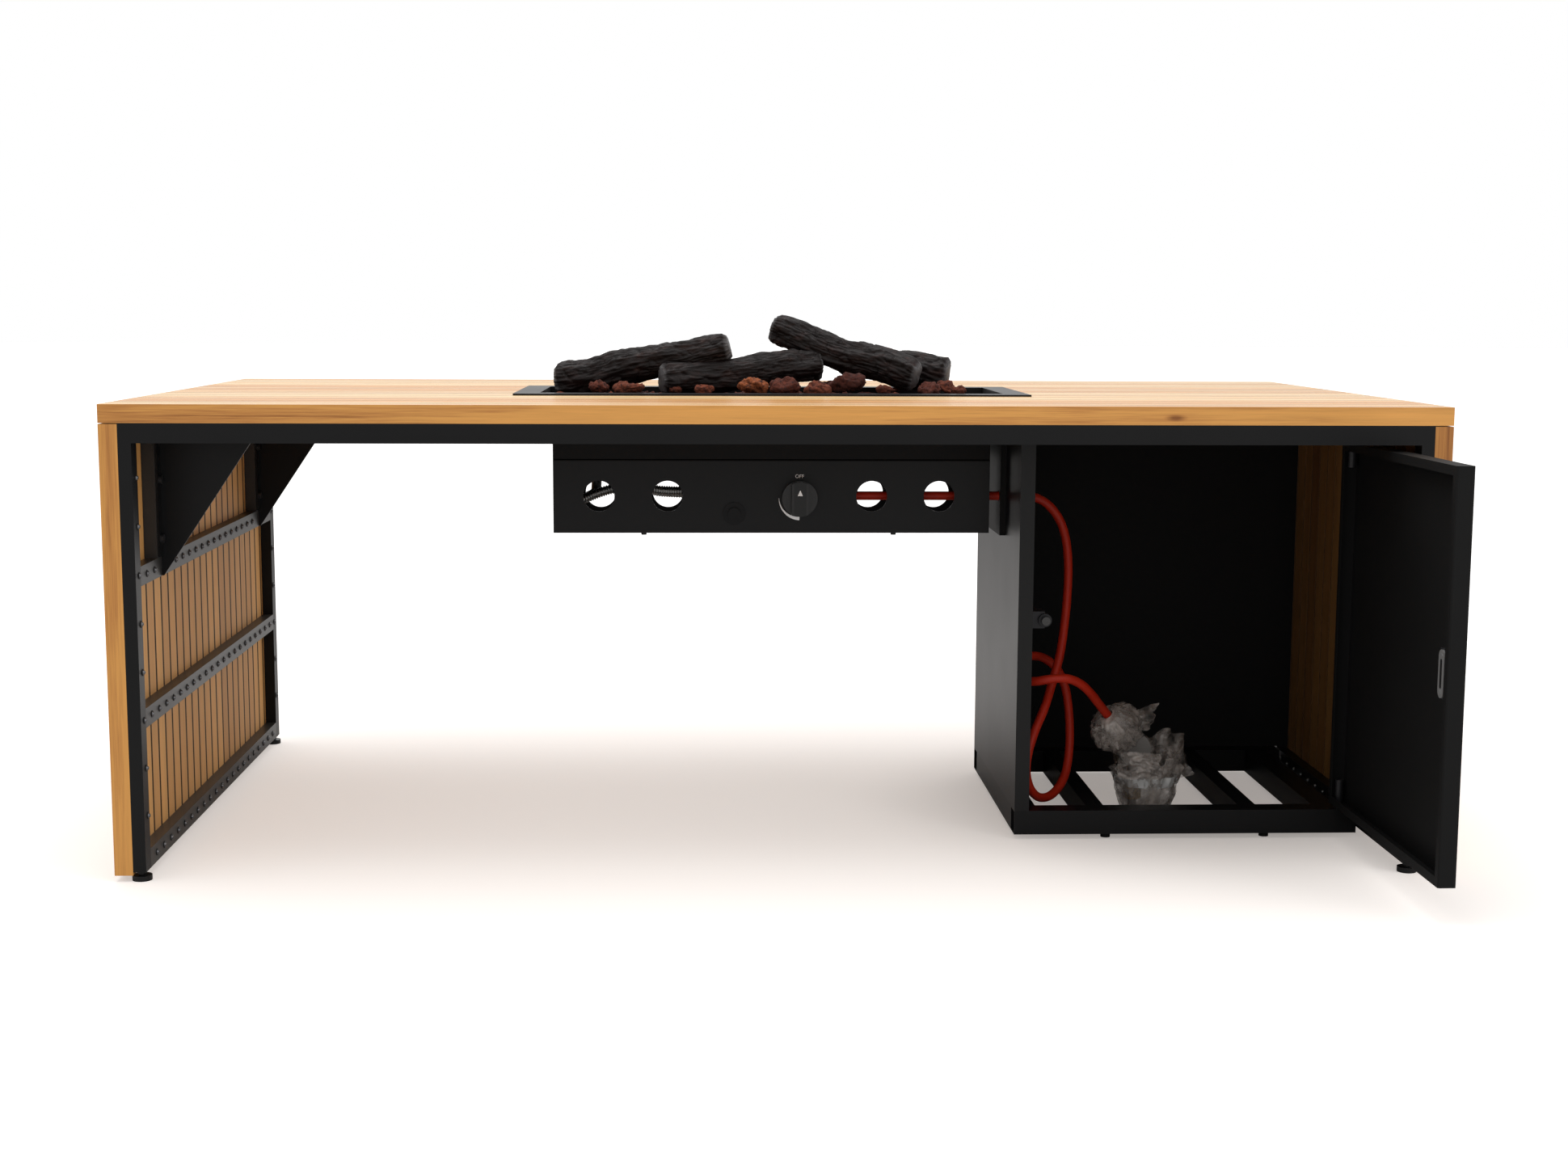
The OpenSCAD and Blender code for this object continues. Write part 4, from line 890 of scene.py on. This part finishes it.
# Ends paled with grit: partly ash, partly a painted highlight.
ash_and_highlight = shader.mix(at_end * grit * 1.1, tinted, (0.17, 0.165, 0.17))
log_finish = shader.finish(ash_and_highlight, 0.40 + grit * 0.3 - at_end * 0.12, Specular_IOR_Level=0.18,
                           Normal=shader.bump(streak * 0.7 + grit * 0.25, 0.0024, 0.9))
for node, log in charred.items():
    paint(log, log_finish)
    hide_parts(node)
    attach(log, "table")
print(len(charred), "logs painted")

# %% [markdown]
# The gas pipes are corrugated stainless, so that they bend by hand. Geometry Nodes follow each
# path and make the radius rise and fall along it, which is the ripple itself. A bump map would
# leave the outline straight, and the outline shows against the light.

# %% The ripple tree
ripples = Nodes("Ripples", {
    "Radius": 0.008, "Ripple depth": 0.22, "Ripple pitch": 0.0042, "Finish": None})
curve = ripples.add("GeometryNodeMeshToCurve", {"Mesh": ripples["Geometry"]})
curve = ripples.add("GeometryNodeResampleCurve", {"Curve": curve, "Length": 0.00065}, mode="LENGTH")
gone = ripples.add("GeometryNodeSplineParameter", out=1)
phase = gone / ripples["Ripple pitch"] * (2 * pi)
wave = ripples.maths("MULTIPLY_ADD", ripples.maths("COSINE", phase), 0.5, 0.5)
share = 1.0 - wave * ripples["Ripple depth"]
ring = ripples.add("GeometryNodeCurvePrimitiveCircle", {
    "Resolution": 20, "Radius": ripples["Radius"]})
pipe = ripples.add("GeometryNodeCurveToMesh", {
    "Curve": curve, "Profile Curve": ring, "Scale": share, "Fill Caps": True})
ripples.end(ripples.painted(ripples.add("GeometryNodeSetShadeSmooth", {"Geometry": pipe})))

# %% Gas pipes
MAIN_PIPE = [
    (4, 15, 563), (-36, 15, 563), (-116, 17, 564), (-181, 20, 564), (-228, 22, 568),
    (-268, 24, 568), (-298, 26, 560), (-322, 30, 550), (-335, 39, 545), (-330, 50, 547),
    (-316, 57, 552), (-307, 65, 556), (-305, 74, 557), (-305, 86, 560), (-305, 99, 567),
    (-305, 111, 576), (-305, 117, 588), (-305, 117, 600)]
PILOT_PIPE = [
    (4, 28, 550), (-26, 28, 550), (-66, 30, 554), (-116, 33, 556), (-170, 38, 557),
    (-205, 44, 560), (-228, 51, 571), (-246, 56, 585), (-255, 57, 600)]
dull_steel = plain("dull steel", (0.24, 0.24, 0.235), 0.34, metallic=1.0, vary=0.12)


def ripple_pipe(name, route, radius):
    path = smooth_path([mm(*point) for point in route], 8)
    edges = [(i, i + 1) for i in range(len(path) - 1)]
    line = add_mesh(name, path, [], edges=edges)
    return bake(line, ripples, Radius=radius, Finish=dull_steel)


for piece in (ripple_pipe("main_pipe", MAIN_PIPE, 0.0088),
              ripple_pipe("pilot_pipe", PILOT_PIPE, 0.006)):
    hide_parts("flex_pipes")
    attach(piece, "table")
    print(piece.name, len(piece.data.polygons), "faces")

# %% [markdown]
# The knob and the fascia carry plain white marks: a pointer on the grip, the word OFF above it and
# a crescent at its lower left that widens downwards. Each is a flat outline, raised by a tenth of a
# millimetre. A black strip paints the shade in the joint of the box's front sheets. The knob's grip
# is painted darker than its skirt, as painted shade on the grip's face.


# %% Flat marks
MARK_T = 0.0001


def flat_mark(name, outline, y, body, finish):
    """A thin sheet in a plane of constant Y, whose outline is a list of X and Z in metres."""
    n = len(outline)
    points = [(x, y - MARK_T, z) for x, z in outline] + [(x, y, z) for x, z in outline]
    faces = [tuple(range(n)), tuple(reversed(range(n, 2 * n)))]
    faces += [(i, i + n, (i + 1) % n + n, (i + 1) % n) for i in range(n)]
    mark = add_mesh(name, points, faces)
    paint(mark, finish)
    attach(mark, body)


KNOB_X, KNOB_Z = 0.041, 0.555
GRIP_FACE = -0.042913
GRIP_HALF = 0.0105
FASCIA = -0.013913
POINTER_HALF, POINTER_LOW, POINTER_TIP = 0.0043, 0.5610, 0.5706
CRESCENT_R, CRESCENT_STEPS = 0.0345, 24
CRESCENT_THIN, CRESCENT_GROWTH = 0.0004, 0.0054
SEAM_LOW, SEAM_HIGH = 0.6185, 0.6205

shader = Shader("knob plastic")
on_grip = abs(shader.xyz(shader.place())[0] - KNOB_X) < GRIP_HALF
# The grip is painted darker than the skirt: painted shade on the grip's face.
skirt_and_grip = shader.mix(on_grip, (0.016, 0.016, 0.0165), (0.0025, 0.0025, 0.0025))
paint(nodes["control_knob"], shader.finish(skirt_and_grip, 0.24, Specular_IOR_Level=0.36))
white_print = plain("white print", (0.80, 0.80, 0.80), 0.5)
flat_mark("pointer", [(KNOB_X - POINTER_HALF, POINTER_LOW), (KNOB_X + POINTER_HALF, POINTER_LOW),
                      (KNOB_X, POINTER_TIP)],
          GRIP_FACE, "control_knob", white_print)

outer, inner = [], []
for step in range(CRESCENT_STEPS + 1):
    angle = radians(180 + 90 * step / CRESCENT_STEPS)
    half = (CRESCENT_THIN + CRESCENT_GROWTH * step / CRESCENT_STEPS) / 2
    for edge, r in ((outer, CRESCENT_R + half), (inner, CRESCENT_R - half)):
        edge.append((KNOB_X + r * cos(angle), KNOB_Z + r * sin(angle)))
flat_mark("crescent", outer + inner[::-1], FASCIA, "table", white_print)

box = nodes["control_box"]
box_x = [(box.matrix_world @ vertex.co).x for vertex in box.data.vertices]
# The black strip along the box's front is painted shade in the joint of its sheets.
flat_mark("box_seam", [(min(box_x), SEAM_LOW), (max(box_x), SEAM_LOW),
                       (max(box_x), SEAM_HIGH), (min(box_x), SEAM_HIGH)],
          FASCIA, "table", plain("seam", (0.0006, 0.0006, 0.0006), 0.8, shine=0.0))
print("marks ready")

# %% The word on the fascia
letters = bpy.data.curves.new("off_mark", "FONT")
letters.body = "OFF"
letters.size = 0.0085
letters.align_x = "CENTER"
letters.extrude = MARK_T / 2
words = add_object("off_mark", letters)
flat = final_mesh(words)
bpy.data.objects.remove(words)
upright = Euler((pi / 2, 0, 0)).to_matrix().to_4x4()
flat.transform(Matrix.Translation((KNOB_X, FASCIA - MARK_T / 2, KNOB_Z + 0.034)) @ upright)
off = add_object("off_mark", flat)
paint(off, white_print)
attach(off, "table")
print("OFF has", len(flat.polygons), "faces")

# %% [markdown]
# Turned and pressed parts have small rounds that catch the light. The CAD cylinders have sharp
# edges, so a Bevel modifier goes on the few pieces where it shows.

# %% Rounds on small parts
ROUNDS = {"control_knob": 0.0012, "igniter_body": 0.0008, "igniter_button": 0.0012,
          "latch_plunger": 0.0008, "regulator": 0.0025, "burner_rim": 0.0006,
          "strike_block": 0.0008, "foot_front_left": 0.0012, "foot_front_right": 0.0012,
          "foot_back_left": 0.0012, "foot_back_right": 0.0012}
for name, width in ROUNDS.items():
    ease_edges(name, width, 3)
print(len(ROUNDS), "pieces rounded")

# %% [markdown]
# The strike plate on the door is a bright pill-shaped plate with two rivets and a slot, whose shade
# is painted as a dark flat pill. The CAD plate is a plain rectangle of the same size, so this piece
# replaces it with outlines pushed out to their thickness.

# %% Strike plate
PLATE_X, PLATE_Y, PLATE_Z = 0.925, -0.639, 0.362
PLATE_HALF_W, PLATE_HALF_H, PLATE_T = 0.011, 0.035, 0.003
RIVET_R, RIVET_Z = 0.0026, 0.0265
SLOT_HALF_W, SLOT_HALF_H = 0.0036, 0.0215
# How far behind the rivets' faces the other faces and the marks' backs lie.
PLATE_FACE, SLOT_FACE, MARK_BACK = 0.0006, 0.0003, 0.0007
ARC_STEPS = 14


def pill(half_width, half_height):
    """An upright outline with round ends, about the plate's centre."""
    straight = half_height - half_width
    outline = []
    for side, first in ((1, 0), (-1, pi)):
        for i in range(ARC_STEPS + 1):
            angle = pi * i / ARC_STEPS + first
            outline.append((half_width * cos(angle), side * straight + half_width * sin(angle)))
    return outline


def plate_part(outline, x0, x1, up=0):
    """Points and faces of an outline in Y and Z between two places along X."""
    n = len(outline)
    points = [(PLATE_X + x, PLATE_Y + y, PLATE_Z + z + up) for x in (x0, x1) for y, z in outline]
    faces = [tuple(reversed(range(n))), tuple(range(n, 2 * n))]
    faces += [(i, (i + 1) % n, (i + 1) % n + n, i + n) for i in range(n)]
    return points, faces


points, faces, dark_from = [], [], 0
rivet = [(RIVET_R * cos(a * pi / 8), RIVET_R * sin(a * pi / 8)) for a in range(16)]
for part_points, part_faces in (
        plate_part(pill(PLATE_HALF_W, PLATE_HALF_H), PLATE_FACE, PLATE_T),
        plate_part(rivet, 0, MARK_BACK, RIVET_Z), plate_part(rivet, 0, MARK_BACK, -RIVET_Z),
        plate_part(pill(SLOT_HALF_W, SLOT_HALF_H), SLOT_FACE, MARK_BACK)):
    shift = len(points)
    dark_from = len(faces)
    points += part_points
    faces += [tuple(i + shift for i in face) for face in part_faces]
strike = add_mesh("strike", points, faces)
paint(strike, plain("bright plate", (0.24, 0.24, 0.24), 0.36, metallic=0.4), recess_shade)
# The slot's faces take the second, dark finish: painted shade in the opening.
for polygon in strike.data.polygons:
    polygon.material_index = int(polygon.index >= dark_from)
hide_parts("strike_plate")
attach(strike, "door")
print("strike plate with", len(faces), "faces")

# %% [markdown]
# Film with air bubbles is still wrapped round the regulator, under a band of tape. Cloth
# simulation could crumple it, but taped film keeps its folds, so noise round a turned shape is
# enough. The cup and the lump are drawn outside and inside, to have a thickness. The torn flaps
# are single sheets.

# %% Bubble wrap
WRAP = Vector((0.6483, 0.0100, 0))
TAIL = Vector((0.576, -0.025, 0.177))
TAIL_DIR = (mm(576, -165, 177) - mm(562, -176, 194)).normalized()
CUP_HEIGHT = 0.11
FILM_SIDES = 96
FOLD_SHARE = 0.20


def crumple(angle, height, seed, strength):
    """How far the film is pushed in, from 0 to 1, with folds that run up and round it."""
    x, y = cos(angle), sin(angle)
    fold = abs(noise_at(x * 2.4 + seed, y * 2.4, height * 14))
    small = abs(noise_at(x * 6 + seed, y * 6, height * 45))
    return min(1.0, strength * (1.5 * fold + 0.8 * small))


def ragged(angle, height):
    """How far the cup's torn rim stands above or below its mean height."""
    tear = noise_at(cos(angle) * 2.2 + 5, sin(angle) * 2.2, 0.4)
    slant = 0.024 * cos(angle) + 0.012 * sin(angle)
    return (height / CUP_HEIGHT) ** 2 * (slant + 0.022 * tear)


def film(name, profile, place, seed, strength, lift=lambda angle, height: 0.0):
    """A turned sheet: the profile is a list of radius and height, placed by a function."""
    points = []
    for radius, height in profile:
        for j in range(FILM_SIDES):
            angle = 2 * pi * j / FILM_SIDES
            r = radius * (1 - FOLD_SHARE * crumple(angle, height, seed, strength))
            points.append(place(r * cos(angle), r * sin(angle), height + lift(angle, height)))
    return add_mesh(name, points, grid_faces(len(profile), FILM_SIDES), smooth=True)


def spaced(corners, step):
    """The corners of a profile with points added between them."""
    profile = []
    for (r0, z0), (r1, z1) in zip(corners, corners[1:]):
        count = max(1, round(hypot(r1 - r0, z1 - z0) / step))
        profile += [(r0 + (r1 - r0) * i / count, z0 + (z1 - z0) * i / count) for i in range(count)]
    return [*profile, corners[-1]]


def on_tail(x, y, z):
    return TAIL + TAIL_DIR.to_track_quat("Z", "X").to_matrix() @ Vector((x, y, z))


def on_floor(x, y, z):
    return WRAP + Vector((x, y, z))


cup_profile = spaced([
    (0.002, 0.0003), (0.041, 0.0003), (0.050, 0.030), (0.056, 0.055), (0.063, 0.088),
    (0.069, 0.1165), (0.066, 0.1165), (0.060, 0.088), (0.053, 0.055), (0.046, 0.030),
    (0.037, 0.004), (0.002, 0.004)], 0.0035)
lump_profile = spaced([
    (0.0112, -0.014), (0.025, -0.013), (0.044, 0.004), (0.050, 0.028), (0.040, 0.052),
    (0.010, 0.062), (0.010, 0.057), (0.035, 0.048), (0.044, 0.028), (0.038, 0.008),
    (0.0112, -0.009)], 0.003)
cup = film("wrap_cup", cup_profile, on_floor, 2.3, 0.95, lift=ragged)
lump = film("wrap_lump", lump_profile, on_tail, 6.1, 1.25)
print("cup and lump", len(cup.data.polygons), len(lump.data.polygons), "faces")

# %% Torn flaps
FLAP_POINTS = 26
FLAP_FOLD = 0.016


def flap(name, corners, seed):
    """A loose torn sheet between four corners, with a torn free edge."""
    a, b, c, d = [mm(*corner) for corner in corners]
    out = (b - a).cross(d - a).normalized()
    shares = [i / (FLAP_POINTS - 1) for i in range(FLAP_POINTS)]
    points = []
    for u in shares:
        for v in shares:
            tear = 1 + 0.16 * noise_at(u * 4 + seed, 0.5, 0) * v
            fold = noise_at(u * 2.6 + seed, v * 2.2, 0.3) + 0.4 * noise_at(u * 8 + seed, v * 7, 1.7)
            points.append(a.lerp(b, u).lerp(d.lerp(c, u), v * tear) + out * FLAP_FOLD * fold)
    faces = grid_faces(FLAP_POINTS, FLAP_POINTS, closed=False)
    return add_mesh(name, points, faces, smooth=True)


flaps = [
    flap("flap_upper_right", [(596, -20, 146), (594, -28, 184), (662, 8, 196), (658, 12, 152)],
         1.3),
    flap("flap_left", [(594, -24, 178), (592, -16, 136), (550, -24, 140), (546, -34, 166)], 5.2),
    flap("flap_cup", [(686, -28, 56), (672, -34, 128), (706, 4, 134), (726, 8, 74)], 8.8),
    flap("flap_lower", [(586, -66, 128), (582, -60, 84), (650, -72, 78), (660, -62, 120)], 3.1)]
for piece in (cup, lump, *flaps):
    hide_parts("bubble_wrap")
    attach(piece, "table")
print(len(flaps), "flaps with", sum(len(piece.data.polygons) for piece in flaps), "faces")

# %% [markdown]
# The film is clear, but its folds and bubbles catch so much light that it looks like haze. So one
# slow noise sets how much of it is seen and how pale it is. The tape is plain and pale.

# %% Film and tape finishes
shader = Shader("bubble film")
place = shader.place()
haze = shader.noise(place, 38.0, 4, 0.6)
film_finish = shader.finish(
    shader.mix(haze, (0.21, 0.175, 0.155), (0.60, 0.54, 0.49)), 0.18,
    Alpha=shader.between(haze, 0.28, 0.76), Coat_Weight=0.4,
    Normal=shader.bump(shader.cells(place, 110.0) * -1.0 + haze * 0.6, 0.0026, 1.0))
for piece in (cup, lump, *flaps):
    paint(piece, film_finish)

band = film("tape_band", spaced([(0.0565, 0.058), (0.0605, 0.076)], 0.003), on_floor, 2.3, 0.75)
shader = Shader("tape")
streaks = shader.noise(shader.place(), 50.0, 3)
paint(band, shader.finish(shader.mix(streaks, (0.60, 0.60, 0.59), (0.78, 0.78, 0.77)), 0.35))
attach(band, "table")
print("film and tape painted")

# %% [markdown]
# It leaves the valve, and its far end is the fitting. The cell below works out the path's first
# point and its list of points.

# %% The hose path's points
tuple(hose_path[0])
[tuple(p) for p in hose_path]
